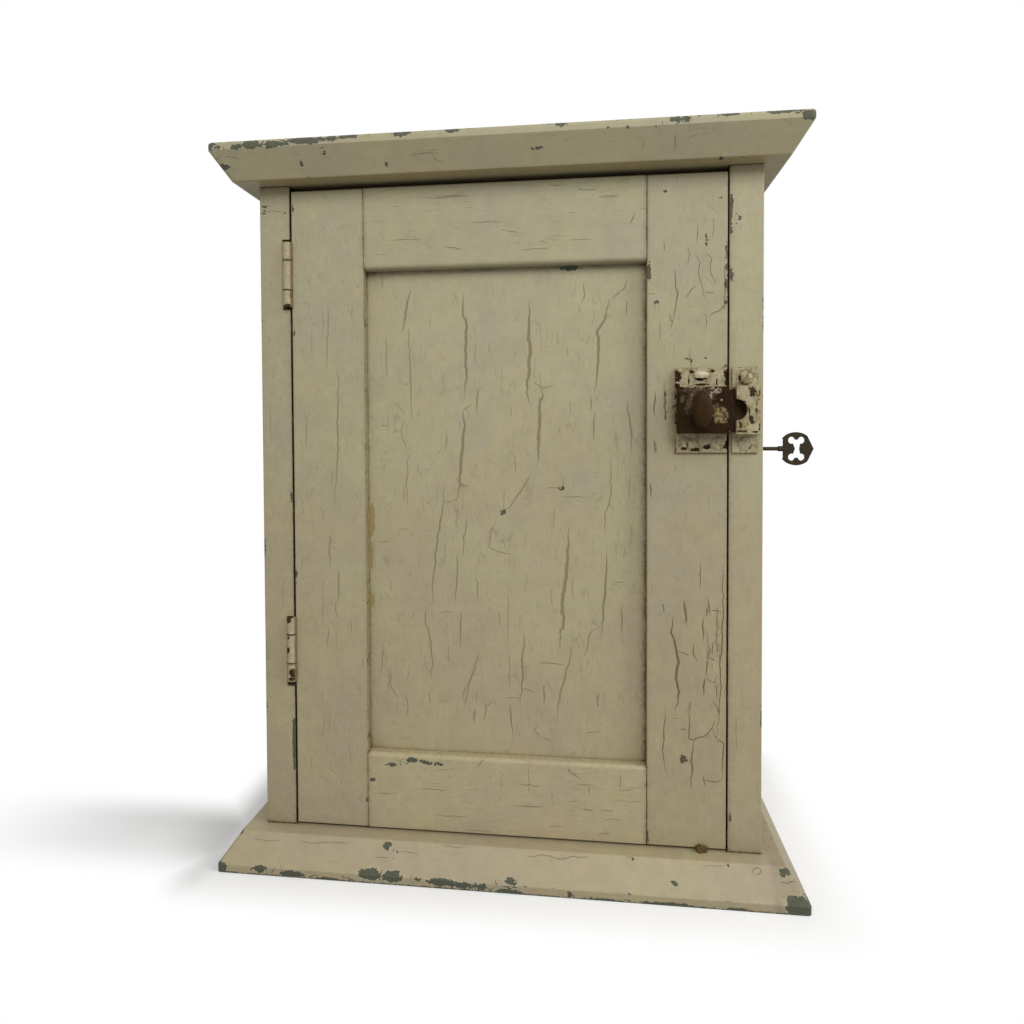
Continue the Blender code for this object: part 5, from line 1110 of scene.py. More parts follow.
PANEL_PIECE = ((-0.1056, 0.0725), (0.1059, 0.4315))
PANEL_FRONT, PANEL_REAR = -0.0770, -0.0706
PANEL_COLUMNS, PANEL_ROWS = 400, 234
PANEL_SPLITS = (
    (2.2, 18.6, 399.6, 18.5, 381.8, 17.9, 362, 17.1, 334.7, 18.9, 329.1),
    (1.8, -28.3, 407.9, -26.7, 382.8, -26.5, 362.7, -27.4, 334.4),
    (1.3, -66.4, 411.8, -71.1, 394.2, -72.5, 380.6), (0.7, -86.6, 422.4, -88.1, 413.1),
    (1.7, 74.1, 400.3, 70.5, 385.9, 66.3, 378.4, 66.1, 361.2, 65, 341.8, 63.9, 337),
    (0.7, 55.8, 413.2, 57, 403.5, 54.5, 397.3), (0.6, 86.3, 414.6, 83.9, 407.5, 75.4, 401.6),
    (0.6, 85.1, 400, 85.1, 389.7), (0.8, -68.5, 385.5, -67.5, 358.4, -66.4, 335.5, -65.9, 317.6),
    (0.6, -84.4, 379.5, -84.5, 347.9), (0.6, 20.1, 344.5, 27.4, 340.4, 37.5, 342.3),
    (2.1, 27.4, 340.4, 26.7, 328.3, 25.6, 316.4, 24.2, 301.7, 23.6, 286.2),
    (0.5, -70.1, 319.8, -74.3, 312.7, -73.7, 304.8, -70.5, 301.9, -70.6, 294),
    (0.6, -67.5, 297.6, -69.6, 288.2, -69, 281, -71.2, 272.4, -69.4, 263, -69.5, 252.9),
    (1, -17.8, 341.4, -19.3, 331.5, -18.7, 323), (0.6, -22.7, 329.4, -28.3, 325.4),
    (2.1, -28.3, 325.9, -29, 306.1, -30.6, 289.7, -32, 273.3, -32.8, 262.6),
    (0.6, -32.8, 263.3, -37, 260.4, -43.2, 260),
    (1.1, -43.1, 273.9, -43.9, 259.3, -46.1, 241.6, -48.3, 235.9, -49.8, 215, -51.3, 204.1, -52.1, 186, -54.9,
     182.3),
    (1, -56.3, 187.4, -57.8, 172.1, -55.7, 167.8, -54.4, 162.4, -53.3, 151.2, -52.4, 143.2, -53, 129.4),
    (0.5, -32.8, 259.3, -34.3, 242.9, -30.1, 241.1),
    (0.8, -26.6, 249.7, -27.4, 237.6, -29.1, 234.7, -28.8, 229.3, -29.5, 220.4),
    (0.9, -33.3, 224.6, -33.8, 212.7, -34.5, 197.6, -35.3, 185.7),
    (1, -31.1, 181.5, -31.9, 168.7, -31.3, 154.8), (0.8, -20.7, 206.2, -19, 201.9, -19.6, 189),
    (1, -19.3, 153.8, -21.7, 138.8, -26.1, 129.7, -28.5, 111.5),
    (0.6, -4.1, 247.3, -9.6, 239.2, -10.5, 226.8, -0.7, 223.7, 8.2, 223.1),
    (0.9, 19.1, 279.1, 12.3, 267.8, 3.5, 256.4, -0.3, 252.9), (0.8, -88.9, 156.6, -90.1, 133.1),
    (0.9, -83.9, 138.5, -83.3, 124.6, -78, 116), (0.7, -72.8, 119.9, -70.7, 113.4, -71.4, 103.8),
    (0.6, -83.1, 203.4, -82.4, 193.3), (0.5, 2.7, 199.5, 2.5, 155.2),
    (0.6, 42, 279.2, 41.6, 270.8, 27.9, 269.7), (0.8, 61.3, 334.2, 61.6, 324.5),
    (0.8, 63.6, 323.1, 63.6, 302.3), (1.1, 86.2, 331.2, 87.3, 320.2, 88.8, 310.5, 88.8, 296),
    (0.7, 75, 290.4, 75, 265.4, 71.1, 252.1, 70.4, 234),
    (1.4, 71.7, 226.3, 71.1, 205.3, 69.7, 185.1, 68, 164.4),
    (2.3, 46.1, 242.1, 43.8, 218.1, 42.4, 198, 41.1, 177.8, 39.4, 157.9), (0.9, 82.5, 190.1, 82, 167.3),
    (0.6, 75.7, 204.7, 84.9, 204.5), (0.8, 66.4, 172.8, 60.4, 168.7, 58.4, 157.8, 55.7, 150.6),
    (0.6, 3.6, 153.1, 3.1, 125.8), (1.2, 14, 167.7, 14.7, 157.8, 12.5, 150.8, 12.2, 136.2, 11.4, 114.7),
    (1.1, 47.7, 161, 46.4, 150.7, 43.1, 137.4, 40, 127.3, 38.3, 118, 37.5, 103.7),
    (0.7, 23.4, 146.7, 34.2, 146.3, 43.6, 145.2), (0.6, 11.5, 127.8, 22.4, 125.2),
    (0.6, -0.5, 120.2, 10.7, 120.8), (1, 4.5, 115.8, 4, 104.3, 6.1, 92.9), (1, 28.4, 131.1, 28, 116.1),
    (0.8, 64.9, 126.9, 65.6, 115.6), (0.6, 23.7, 103.8, 21.4, 97.2, 26, 92.7, 37.5, 89.4),
    (0.8, -7.8, 118.2, -13, 112.9, -15.2, 102.7), (0.7, -21.8, 110.4, -22.2, 101.7),
    (0.6, -15.8, 117.1, -13, 112.9), (0.7, -55, 122, -54, 113.3), (0.5, 39.7, 263.8, 60.5, 263.9),
    (0.5, -33.6, 271.8, -24.2, 270.8), (0.5, -89.3, 314.5, -83.8, 314.2), (0.5, -93.4, 230.2, -82.3, 231.1),
    (0.4, -48.7, 180.3, -36.3, 180.3), (0.6, 56.8, 97.5, 68.7, 99.5), (0.5, 8.1, 293.2, 8.7, 278.4),
    (0.5, -40.6, 311.1, -41.4, 295.4), (0.5, -3.8, 183, -3.1, 170.1), (0.6, 96.9, 164.7, 97.3, 154.2),
)
PANEL_OCHRE = ((-96.6, 244.3, 2.5, 12.7), (-97.2, 221.5, 2.2, 10.1), (-97.2, 187.8, 2.2, 5))
PANEL_CHIPS = (
    (46.6, 423.2, 6.6, 2), (-0.5, 252.9, 1.8, 1.8), (41.6, 269.9, 1.6, 1.6), (-54.8, 258.8, 0.8, 0.8),
)


def flakes(x, z, size, seed, octaves=3):
    """Smooth random field between 0 and 1 over x and z, with size in mm. Random numbers on a square lattice
    are blended by smooth steps, and each octave halves the lattice and weighs 0.6 times the last."""
    random = np.random.default_rng(seed)
    total, weights = 0, 0
    for octave in range(octaves):
        lattice = random.random((61, 61))
        u, v = x / MM / size * 2 ** octave, z / MM / size * 2 ** octave
        column, row = np.floor(u).astype(int), np.floor(v).astype(int)
        u, v = u - column, v - row
        u, v = u * u * (3 - 2 * u), v * v * (3 - 2 * v)
        column, row = column % 60, row % 60
        near = lattice[column, row] * (1 - u) + lattice[column + 1, row] * u
        far = lattice[column, row + 1] * (1 - u) + lattice[column + 1, row + 1] * u
        total = total + 0.6 ** octave * (near * (1 - v) + far * v)
        weights += 0.6 ** octave
    return total / weights


def ragged_ovals(x, z, ovals, seed, rough=1.0, size=1.5, soft=0.14):
    """Share between 0 outside and 1 inside ovals, with rims broken up by a random field. An oval is its
    centre and its two half widths in mm."""
    reach = np.full(x.shape, 9.0)
    for u, v, half_u, half_v in ovals:
        reach = np.minimum(reach, np.hypot((x / MM - u) / half_u, (z / MM - v) / half_v))
    reach = reach + rough * (flakes(x, z, size, seed) - 0.5)
    return unit((1 + soft / 2 - reach) / soft)


def panel_edge_shade(x, z):
    """Painted shade on the panel, tinted brown: a band along all four edges, widest at the right and in
    the corners, and more towards the lower left.
    """
    left, right = x - PANEL_LEFT, PANEL_RIGHT - x
    low, high = z - PANEL_BOTTOM, PANEL_TOP - z
    waver = 1 + 0.35 * ripple((x + z) / MM, 61, 80)
    bands = (0.80 * np.exp(-left / 0.0009) + 1.10 * np.exp(-right / 0.0014) + 0.30 * np.exp(-right / 0.0055)
             + 0.65 * np.exp(-low / 0.0007) + 1.20 * np.exp(-high / 0.0012))
    corner = np.exp(-np.hypot(np.minimum(left, right), np.minimum(low, high)) / 0.0065) * 0.65
    return np.clip(bands * waver + corner + lower_left_shade(x, z), 0, 1.25)


(low_x, low_z), (high_x, high_z) = PANEL_PIECE
front = np.stack((np.linspace(low_x, high_x, PANEL_COLUMNS), np.full(PANEL_COLUMNS, PANEL_FRONT)), axis=1)
rear = np.stack((np.linspace(high_x, low_x, 8), np.full(8, PANEL_REAR)), axis=1)
points = upright_board(np.vstack((front, rear)), np.linspace(low_z, high_z, PANEL_ROWS))
x, y, z = np.moveaxis(points, -1, 0)
strewn = wandering_lines(71, 70, (-98, 98, 82, 415), (4, 20), (0.16, 0.42))
upright, level = split_by_slope([*PANEL_SPLITS, *strewn])
level = level + wandering_lines(72, 34, (-97, 90, 82, 420), (2.5, 8), (0.14, 0.32), False)
shown = (y < PANEL_FRONT + 0.1 * MM).astype(float)
points, fields = cracked(points, x / MM, z / MM, upright, level, PANEL_CHIPS, 1.2, 0.4, shown)
fields["grime"] = np.where(shown > 0, panel_edge_shade(x, z), lower_left_shade(x, z))
fields["ochre"] = ragged_ovals(x, z, PANEL_OCHRE, 64, 1.0, 3.0, 0.5) * shown
board = skin("door_panel_painted", points, fields)
board.data.materials.append(painted_wood("Panel paint", GRAIN_UPRIGHT, hairs=0.9))
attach(board, "door")
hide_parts("door_panel")

# Hinges. Two iron butt hinges, 46 mm long, painted over with the door. The paint has cracked at
# the joints of the knuckles and flaked at their ends, where dark rusty iron shows.

IRON_CREAM = (0.368, 0.310, 0.198, 1)
IRON_DARK = (0.026, 0.019, 0.008, 1)
RUST = (0.150, 0.068, 0.024, 1)
HINGE_BARE = (
    (-153.6, 400.2, 2.6, 1.3), (-150.6, 408.6, 1.1, 2.4), (-155.2, 174.6, 2.1, 2.3),
    (-155.5, 161.5, 0.9, 1.1), (-155.9, 152.6, 1.3, 2), (-152.6, 136, 2.6, 3), (-153.3, 131.6, 2.6, 1.2),
)
HINGE_JOINTS = (432.5, 411.5, 163.8, 142.8)
CRACK_BROWN = (0.045, 0.030, 0.016, 1)


def nearest_oval(place, ovals):
    """Reach of a place in mm from the nearest oval on the front, which is 1 on its rim."""
    reach = 9.0
    for x, z, half_x, half_z in ovals:
        off = (place - (x, 0.0, z)) * (1 / half_x, 0.0, 1 / half_z)
        reach = reckon("MINIMUM", length_of(off), reach)
    return reach


def make_flaked_iron():
    """Thick old paint on iron, and the iron itself. The paint ends where reach, broken up by noise, falls
    under 1, and noise lifts a few more flakes. There is a little rust at their rims."""
    tree, given, put = new_group("Flaked iron", {
        "Place": (0, 0, 0), "Reach": 9.0, "Paint": IRON_CREAM, "Iron": IRON_DARK, "Rust": RUST, "Loss": 0.7},
        ("Color", "Roughness", "Height"))
    place = given["Place"]
    scales = speckle(place, 0.45, 5.0, 0.65)
    edge = (scales - 0.5) * 2.2 + given["Reach"]
    loose = scales - given["Loss"]
    bare = larger(ramp(edge, 0.95, 1.05, 1.0, 0.0), ramp(loose, -0.01, 0.01))
    rim = larger(ramp(edge, 1.0, 1.4, 1.0, 0.0), ramp(loose, -0.05, 0.0)) - bare
    paint = given["Paint"] * uneven(speckle(place, 0.5, 4.0, 0.6), 0.82, 1.14)
    rusty = ramp(speckle(place + (5, 60, 20), 0.45, 3.0, 0.6), 0.5, 0.70, 0.0, 0.75)
    iron = blend(rusty, given["Iron"], given["Rust"]) * uneven(speckle(place, 2.2, 3.0, 0.6), 0.7, 1.3)
    paint = blend(rim * 0.4, paint, given["Rust"])
    fill(put, {"Color": blend(bare, paint, iron), "Roughness": bare * -0.02 + 0.50,
               "Height": bare * -0.22 + speckle(place, 0.8, 3.0) * 0.16})
    return tree


flaked_iron = make_flaked_iron()


def hinge_paint():
    """Material of the hinges. Dark cracks cross them at the joints of the knuckles, and brown lines run down
    both sides of the barrels: painted shade."""
    material, shader, place = new_material("Hinge paint", 0.05)
    parts = node("SeparateXYZ", place)
    wavy = speckle(place, 0.6) * 0.9 + -0.45
    crack = 0.0
    for joint in HINGE_JOINTS:
        crack = larger(ramp(abs(parts["Z"] - joint + wavy), 0.35, 0.65, 1.0, 0.0), crack)
    coat = node("Group", place, nearest_oval(place, HINGE_BARE), IRON_CREAM, IRON_DARK, RUST, 0.76,
                node_tree=flaked_iron)
    colour = blend(crack, coat["Color"], CRACK_BROWN)
    # Brown lines beside the barrels: painted shade.
    beside = wavy * 0.5 + abs(parts["X"] - HINGE_X / MM)
    fill(shader, {"Base Color": blend(ramp(beside, 2.3, 3.1, 0.0, 0.85), colour, BROWN_DIRT),
                  "Roughness": coat["Roughness"], "Normal": raised(crack * -0.4 + coat["Height"])})
    return material


def bare_iron(name, iron, rust=RUST, metal=0.0):
    """Material of an iron fitting with no paint left."""
    material, shader, place = new_material(name, 0.05)
    coat = node("Group", place, 0.0, IRON_CREAM, iron, rust, node_tree=flaked_iron)
    fill(shader, {"Base Color": coat["Color"], "Roughness": coat["Roughness"], "Metallic": metal,
                  "Normal": raised(coat["Height"])})
    return material


finish_nodes(hinge_paint(), "hinge_leaf_fixed_upper", "hinge_leaf_door_upper", "hinge_leaf_fixed_lower",
             "hinge_leaf_door_lower")
finish_nodes(bare_iron("Hinge pin iron", IRON_DARK), "hinge_pin_upper", "hinge_pin_lower")

# Latch. A cast iron case on a plate, with an oval knob that turns a crank and shoots the bolt.
# The case is bare dark brown iron from handling, with two patches of paint left. The plate and
# its screws lie under a thick film of cream paint with ragged holes in it.

LATCH_Z = 0.3235
FILM_STEP = 0.00024
FILM_HEIGHTS = np.arange(0.2938, 0.3526, FILM_STEP)
PLATE_FRONT = CARCASS_FRONT - 0.0019
LATCH_FILM = (0.1166, 0.1518)
PLATE = ((0.1177, 0.2950), (0.1514, 0.3512))
CASE = ((0.1182, 0.30815), (0.1511, 0.33885))
CASE_FRONT = CARCASS_FRONT - 0.0120
SCREW_SEAT = CARCASS_FRONT - 0.0022
SCREW_RADIUS, SLOT_HALF = 0.0046, 0.00050
LATCH_SCREWS = ((0.1245, 0.3012, 52, 0.0006), (0.1455, 0.3012, 115, 0.0006))
PLATE_BARE = (
    (119.1, 346.9, 2.2, 3.2), (128.2, 349.3, 1.4, 1.1), (151.3, 346, 1.9, 4.6), (123.2, 300.4, 2, 3),
    (138.1, 298.9, 1.9, 1.2), (150.6, 300.7, 2.2, 3.4), (130.5, 297.2, 2.2, 1), (118.6, 339.9, 1.5, 1.4),
    (141.7, 349.2, 1.3, 0.7), (144.5, 341.8, 0.35, 2.4), (126.3, 344, 0.35, 3.5), (134, 340.6, 5, 0.5),
    (117.5, 320, 0.9, 6), (117.2, 333, 0.8, 2.5),
)
KEEP_CREAM = (0.352, 0.308, 0.182, 1)
GOLD = (0.210, 0.150, 0.045, 1)
LILAC = (0.250, 0.205, 0.190, 1)
BROWN_IRON = (0.0215, 0.0108, 0.0032, 1)
SMEAR = (0.105, 0.076, 0.046, 1)
LATCH_RUST = (0.055, 0.027, 0.010, 1)
PLATE_CREAM = (0.388, 0.322, 0.194, 1)
PLATE_IRON = (0.052, 0.036, 0.014, 1)
CASE_CREAM = (0.330, 0.270, 0.185, 1)
TOP_SCREW_CREAM = (0.440, 0.385, 0.255, 1)
TOP_SCREW_SHADOW = (0.014, 0.009, 0.005, 1)
BOLT_IRON = (0.022, 0.0115, 0.005, 1)
BOLT_RUST = (0.048, 0.025, 0.012, 1)
SCREW_IRON = (0.016, 0.011, 0.007, 1)
KNOB_IRON = (0.030, 0.0160, 0.0056, 1)
KNOB_RUST = (0.040, 0.0220, 0.0085, 1)
FILM_THICK = 0.26 * MM
FILM_DIP = 0.40 * MM
FILM_TUCK = 1.3 * MM


def inside_box(x, z, box, soft):
    """Share between 0 outside and 1 inside an upright box, with a soft border."""
    (low_x, low_z), (high_x, high_z) = box
    depth = np.minimum(np.minimum(x - low_x, high_x - x), np.minimum(z - low_z, high_z - z))
    return unit(depth / soft + 0.5)


def domed_screws(x, z, screws):
    """Depth in Y of the screws' heads, with their slots, or of the seat where there is none."""
    depth = np.full(x.shape, 1.0)
    for centre_x, centre_z, turn, rise in screws:
        u, v = x - centre_x, z - centre_z
        reach = unit(1 - (u * u + v * v) / SCREW_RADIUS ** 2)
        head = SCREW_SEAT - rise * np.sqrt(reach)
        across = np.abs(v * np.cos(np.radians(turn)) - u * np.sin(np.radians(turn)))
        head = head + 0.3 * rise * unit((SLOT_HALF - across) / (0.15 * MM))
        depth = np.minimum(depth, np.where(reach > 0, head, 1.0))
    return depth


def paint_coat(name, left, right, heights, columns, surface, bare, fields):
    """Film of paint as a closed sheet. Column by column it runs from left to right, which may change
    with the height. Its front is the surface's Y less the paint's thickness. Where bare is 1 it dips behind
    that surface, so the iron shows in a hole with a true rim, and its border is tucked in the same way."""
    z = np.repeat(heights[:, None], columns, axis=1)
    low, high = (np.broadcast_to(side, heights.shape)[:, None] for side in (left, right))
    x = low + (high - low) * np.linspace(0, 1, columns)
    gone = bare(x, z)
    lumps = 0.17 * MM * (2 * flakes(x, z, 2.0, 5, 4) - 1)
    y = surface(x, z) - (FILM_THICK + lumps) * (1 - gone) + FILM_DIP * gone
    border = np.minimum(np.minimum(x - low, high - x), np.minimum(z - heights[0], heights[-1] - z))
    y = y + FILM_TUCK * unit(1 - border / (0.45 * MM)) ** 2
    front = np.stack((x, y, z), axis=-1)
    rear = front[:, [-1, 0]].copy()
    rear[..., 1] = y.max() + 0.2 * MM
    full = {label: np.concatenate((values, values[:, [-1, 0]]), axis=1)
            for label, values in fields(x, z, gone).items()}
    return skin(name, np.concatenate((front, rear), axis=1), full)


def coat_material(name, cream=IRON_CREAM, iron=BROWN_IRON):
    """Material of a film on iron. cover is 1 on paint and 0 on iron, and tint holds the shares of gold,
    lilac and rust."""
    material, shader, place = new_material(name, 0.05)
    cover = field(material, "cover")["Fac"]
    paint = node("Group", node_tree=cream_paint, named={
        "Place": place, "Grime and shade": field(material, "grime")["Fac"], "Grain": (1.0, 1.0, 1.0), "Cream": cream,
        "Grey": shaded(cream, 0.86), "Green": shaded(cream, 1.06)})
    colour = paint["Color"]
    grain = speckle(place, 0.75, 5.0, 0.7)
    tints = node("SeparateXYZ", field(material, "tint")["Vector"])
    for part, tone in (("X", GOLD), ("Y", LILAC), ("Z", RUST)):
        share = ramp(tints[part] - 0.5 + grain, 0.42, 0.66) * ramp(tints[part], 0.02, 0.1)
        colour = blend(share, colour, uneven(grain, 0.7, 1.35) * tone[:3])
    mottle = speckle(place, 0.35, 5.0, 0.65)
    painted = ramp((grain - 0.5) * 1.3 + cover, 0.46, 0.54)
    smeared = ramp((grain - 0.5) * 0.9 + cover, 0.10, 0.42, 0.0, 0.85)
    metal = blend(smeared, uneven(mottle, 0.72, 1.35) * iron[:3], SMEAR)
    fill(shader, {"Base Color": blend(painted, metal, colour), "Roughness": mottle * 0.25 + 0.34,
                  "Specular IOR Level": painted * 0.20 + 0.04,
                  "Normal": raised(painted * 0.08 + grain * 0.16, 0.7)})
    return material


def plate_depth(x, z):
    """Y of the latch's plate and its two lower screws, sloping off to the wood outside the plate."""
    share = inside_box(x, z, PLATE, 0.5 * MM)
    plate = CARCASS_FRONT + (PLATE_FRONT - CARCASS_FRONT) * share
    return np.minimum(plate, domed_screws(x, z, LATCH_SCREWS))


def plate_bare(x, z):
    """Holes in the paint of the latch's plate."""
    return ragged_ovals(x, z, PLATE_BARE, 3, 2.0, 1.6, 0.5)


def blotches(x, z, seed):
    """Uneven brown dirt on thick old paint: blotches of two sizes, from clean to dark."""
    wide = flakes(x, z, 4.0, seed, 4)
    fine = flakes(x, z, 1.3, seed + 1, 2)
    return unit(2.6 * (wide - 0.41) + 1.6 * (fine - 0.5))


def plate_fields(x, z, gone):
    """Paint everywhere but in the holes, dirtier near them and along the case."""
    by_case = inside_box(x, z, CASE, 2.2 * MM)
    low = unit((0.308 - z) / 0.006)
    edge = 1 - inside_box(x, z, PLATE, 2.4 * MM)
    near = ragged_ovals(x, z, PLATE_BARE, 3, 2.0, 1.6, 1.8)
    grime = 0.06 + 0.55 * by_case + 0.15 * low + 0.40 * edge + 0.45 * near + 0.75 * blotches(x, z, 9)
    grime = np.clip(grime, 0, 0.95)
    tint = np.stack((0.25 * low, 0.12 + 0 * x, 0.20 * (flakes(x, z, 2.5, 31) > 0.68)), axis=-1)
    return {"cover": 1 - gone, "grime": grime, "tint": tint}


coat = paint_coat("latch_plate_paint", *LATCH_FILM, FILM_HEIGHTS, 150, plate_depth, plate_bare, plate_fields)
coat.data.materials.append(coat_material("Latch plate paint", PLATE_CREAM, PLATE_IRON))
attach(coat, "door")

CASE_PAINT = (
    (141.5, 336.2, 4.3, 2.6), (139, 332.2, 1.2, 2.6), (144.9, 319.2, 5.2, 4.4), (145.6, 323.2, 3.4, 1.6),
    (124.8, 338.8, 4.5, 0.8), (146, 329.9, 0.8, 0.9), (135, 338.8, 9, 0.5),
)
CASE_SMEARS = (
    (125.4, 327.5, 3, 6.6), (127.5, 334, 3.6, 2.6), (138.5, 331.5, 3.5, 4), (142, 324.5, 5, 3),
    (130, 336.5, 10, 1.6), (121, 331, 1.6, 3),
)
KNOB_CENTRE = (0.1326, 0.3236)
KNOB_HALF = (0.0065, 0.0122)
KNOB_FRONT, KNOB_BACK = CARCASS_FRONT - 0.0250, CARCASS_FRONT - 0.0166


def case_depth(x, z):
    """Y of the case's front, just proud of the casting, with the paint left on it a little thicker."""
    left = ragged_ovals(x, z, CASE_PAINT, 12, 1.0, 1.6, 0.3)
    return CASE_FRONT + 0.16 * MM - 0.20 * MM * left


def case_fields(x, z, gone):
    """Two patches of paint, of which the lower one is golden, and thin smears round the knob."""
    patch = ragged_ovals(x, z, CASE_PAINT, 12, 1.0, 1.6, 0.5)
    smear = ragged_ovals(x, z, CASE_SMEARS, 14, 1.2, 2.2, 0.9)
    gold = unit((0.3262 - z) / 0.002)
    tint = np.stack((0.80 * gold, 0.15 * (1 - gold), 0.15 + 0 * x), axis=-1)
    holes = unit((flakes(x, z, 1.5, 17) - 0.36) / 0.28)
    patch = patch * (0.30 + 0.55 * holes) * (1 - 0.12 * gold)
    reach = np.hypot((x - KNOB_CENTRE[0]) / KNOB_HALF[0], (z - KNOB_CENTRE[1]) / KNOB_HALF[1])
    ring = np.exp(-((reach - 1.14) / 0.10) ** 2) * unit((z - KNOB_CENTRE[1]) / 0.004)
    cover = np.maximum(patch, np.maximum(0.31 * smear, 0.40 * ring))
    return {"cover": cover, "grime": 0.35 + 0.25 * gold, "tint": tint}


(left, bottom), (right, top) = CASE
coat = paint_coat("latch_case_face", left - 0.1 * MM, right + 0.1 * MM,
                  np.arange(bottom - 0.1 * MM, top + 0.1 * MM, FILM_STEP), 140, case_depth,
                  lambda x, z: 0 * x, case_fields)
coat.data.materials.append(coat_material("Latch case iron", CASE_CREAM))
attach(coat, "door")


def screw_head(name, centre, half_x, half_z, rise):
    """Painted round head, seen as an oval, with its shank. Rings run from the dome's top out to the rim
    by a sine, back under the head, and along the shank. Its lower part is bare and browner: on the raised
    top screw this is a painted shadow under the head, and on the flat sunk heads bare iron."""
    turn = np.linspace(0, 2 * np.pi, 40, endpoint=False)
    lift = np.radians(np.concatenate(((1.5,), np.linspace(8, 90, 12))))
    share = np.sin(lift)
    depth = SCREW_SEAT - rise * np.cos(lift)
    under = np.array(((0.97, SCREW_SEAT + 0.3 * MM), (0.36, SCREW_SEAT + 0.4 * MM),
                      (0.36, CARCASS_FRONT + 0.010), (0.03, CARCASS_FRONT + 0.0125)))
    share = np.concatenate((share, under[:, 0]))[:, None]
    depth = np.concatenate((depth, under[:, 1]))[:, None]
    wave = 1 + 0.07 * np.sin(3 * turn + 1) + 0.045 * np.sin(7 * turn)
    x = centre[0] + half_x * share * wave * np.cos(turn)
    z = centre[1] + half_z * share * wave * np.sin(turn)
    y = depth + 0 * x - 0.7 * MM * (flakes(x, z, 2.2, 23) - 0.5)
    # The lower part, bare and browner: a painted shadow under the raised top screw's head.
    low = (centre[1] - 0.50 * half_z - z) / (0.14 * half_z)
    low = unit(low + 2.0 * (flakes(x, z, 1.6, 27) - 0.5))
    rim = np.clip(np.broadcast_to(share, x.shape) * 2.6 - 1.9, 0, 0.6)
    fields = {"cover": 1 - low, "grime": 0.05 + 0.3 * low + rim, "tint": np.zeros(x.shape + (3,))}
    fields = {key: value[:, ::-1] for key, value in fields.items()}
    return skin(name, np.stack((x, y, z), axis=-1)[:, ::-1], fields)


head = screw_head("latch_screw_top_painted", (0.1343, 0.3468), 0.0055, 0.0033, 0.0022)
head.data.materials.append(coat_material("Top screw paint", TOP_SCREW_CREAM, TOP_SCREW_SHADOW))
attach(head, "door")
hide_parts("latch_screw_top")

sunk = coat_material("Sunk screw iron")
for name, body, centre in (("latch_screw_bottom_left", "door", (0.1245, 0.3012)),
                           ("latch_screw_bottom_right", "door", (0.1455, 0.3012)),
                           ("keep_screw_bottom", "carcass", (0.1630, 0.3012))):
    head = screw_head(name + "_sunk", centre, 0.0042, 0.0042, 0.0003)
    head.data.materials.append(sunk)
    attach(head, body)
    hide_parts(name)

finish_nodes(bare_iron("Latch iron", BROWN_IRON, LATCH_RUST), "latch_case")
finish_nodes(bare_iron("Bolt iron", BOLT_IRON, BOLT_RUST), "latch_bolt")
finish_nodes(bare_iron("Screw iron", SCREW_IRON), "keep_screw_top")


def oval_knob():
    """The knob: a cushion over an oval. Rings run from the middle of its back out to its rim and on to
    the middle of its front. The rim is round, and the front is nearly flat: its depth falls with the third
    power of the share of the half width."""
    turn = np.linspace(0, 2 * np.pi, 72, endpoint=False)
    share = np.concatenate((np.linspace(0.02, 0.93, 12), np.sin(np.radians(np.linspace(72, 108, 9))) ** 3,
                            np.linspace(0.93, 0.02, 16)))[:, None]
    middle = (KNOB_FRONT + KNOB_BACK) / 2
    half = (KNOB_BACK - KNOB_FRONT) / 2
    front = np.arange(len(share))[:, None] >= 16
    bulge = half * (1 - share ** 3.2) ** 0.55
    depth = np.where(front, middle - bulge, middle + 0.8 * bulge)
    x = KNOB_CENTRE[0] + KNOB_HALF[0] * share * np.cos(turn)
    z = KNOB_CENTRE[1] + KNOB_HALF[1] * share * np.sin(turn)
    points = np.stack((x, depth + 0 * x, z), axis=-1)
    return skin("latch_knob_oval", points)


knob_iron = bare_iron("Knob iron", KNOB_IRON, KNOB_RUST)
finish_nodes(knob_iron, "latch_knob")
knob = oval_knob()
knob.data.materials.append(knob_iron)
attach(knob, "latch_knob")

# Keep. The catch plate on the right side board, with a raised box for the bolt's nose. It has
# kept most of its paint, flaking in scales, with a rusty patch at its right edge. Its inside and
# the half round cut in its front are dark.

KEEP_PLATE = ((0.1543, 0.2950), (0.1710, 0.3512))
KEEP_FILM = (0.1541, 0.1721)
KEEP_PLATE_CREAM = (0.375, 0.320, 0.195, 1)
# Light for iron, so the inside of the keep's box, seen through its cut, shows brown in its shade: painted
# light. The holes in the plate's paint show the same iron.
KEEP_PLATE_IRON = (0.075, 0.045, 0.021, 1)
KEEP_IRON = (0.042, 0.027, 0.012, 1)
KEEP_IRON_RUST = (0.055, 0.030, 0.013, 1)
KEEP_BOX = ((0.1552, 0.3072), (0.1707, 0.3390))
KEEP_FRONT = CARCASS_FRONT - 0.0125
THUMB_RADIUS = 0.0070
KEEP_SCREWS = ((0.163, 0.345, 62, 0.0022), (0.163, 0.3012, 20, 0.0006))
KEEP_PLATE_BARE = (
    (169.1, 342.3, 1.7, 2.2), (158.5, 345.4, 0.9, 3.6), (167.3, 297.9, 2.3, 1.9), (170.2, 302.5, 1, 1.2),
    (171.2, 349.5, 1.2, 1.2), (160, 350.9, 2.6, 0.5),
)
KEEP_BOX_BARE = (
    (165.2, 335.2, 2.2, 2.7), (164.8, 316.8, 1.5, 2.5), (170.6, 334.6, 0.9, 1.6), (158, 313.6, 0.8, 1.8),
    (163.4, 322.6, 0.4, 2.6), (170.6, 312, 0.8, 2.6), (158.2, 309.4, 3, 0.5), (166.6, 309, 2, 0.5),
    (160.2, 328.6, 1.3, 0.5), (168, 322.8, 0.5, 1.4),
)
KEEP_RUST = ((168.9, 331.6, 1.7, 3), (168.6, 327, 1.4, 2.2), (167.4, 323.8, 0.8, 1))
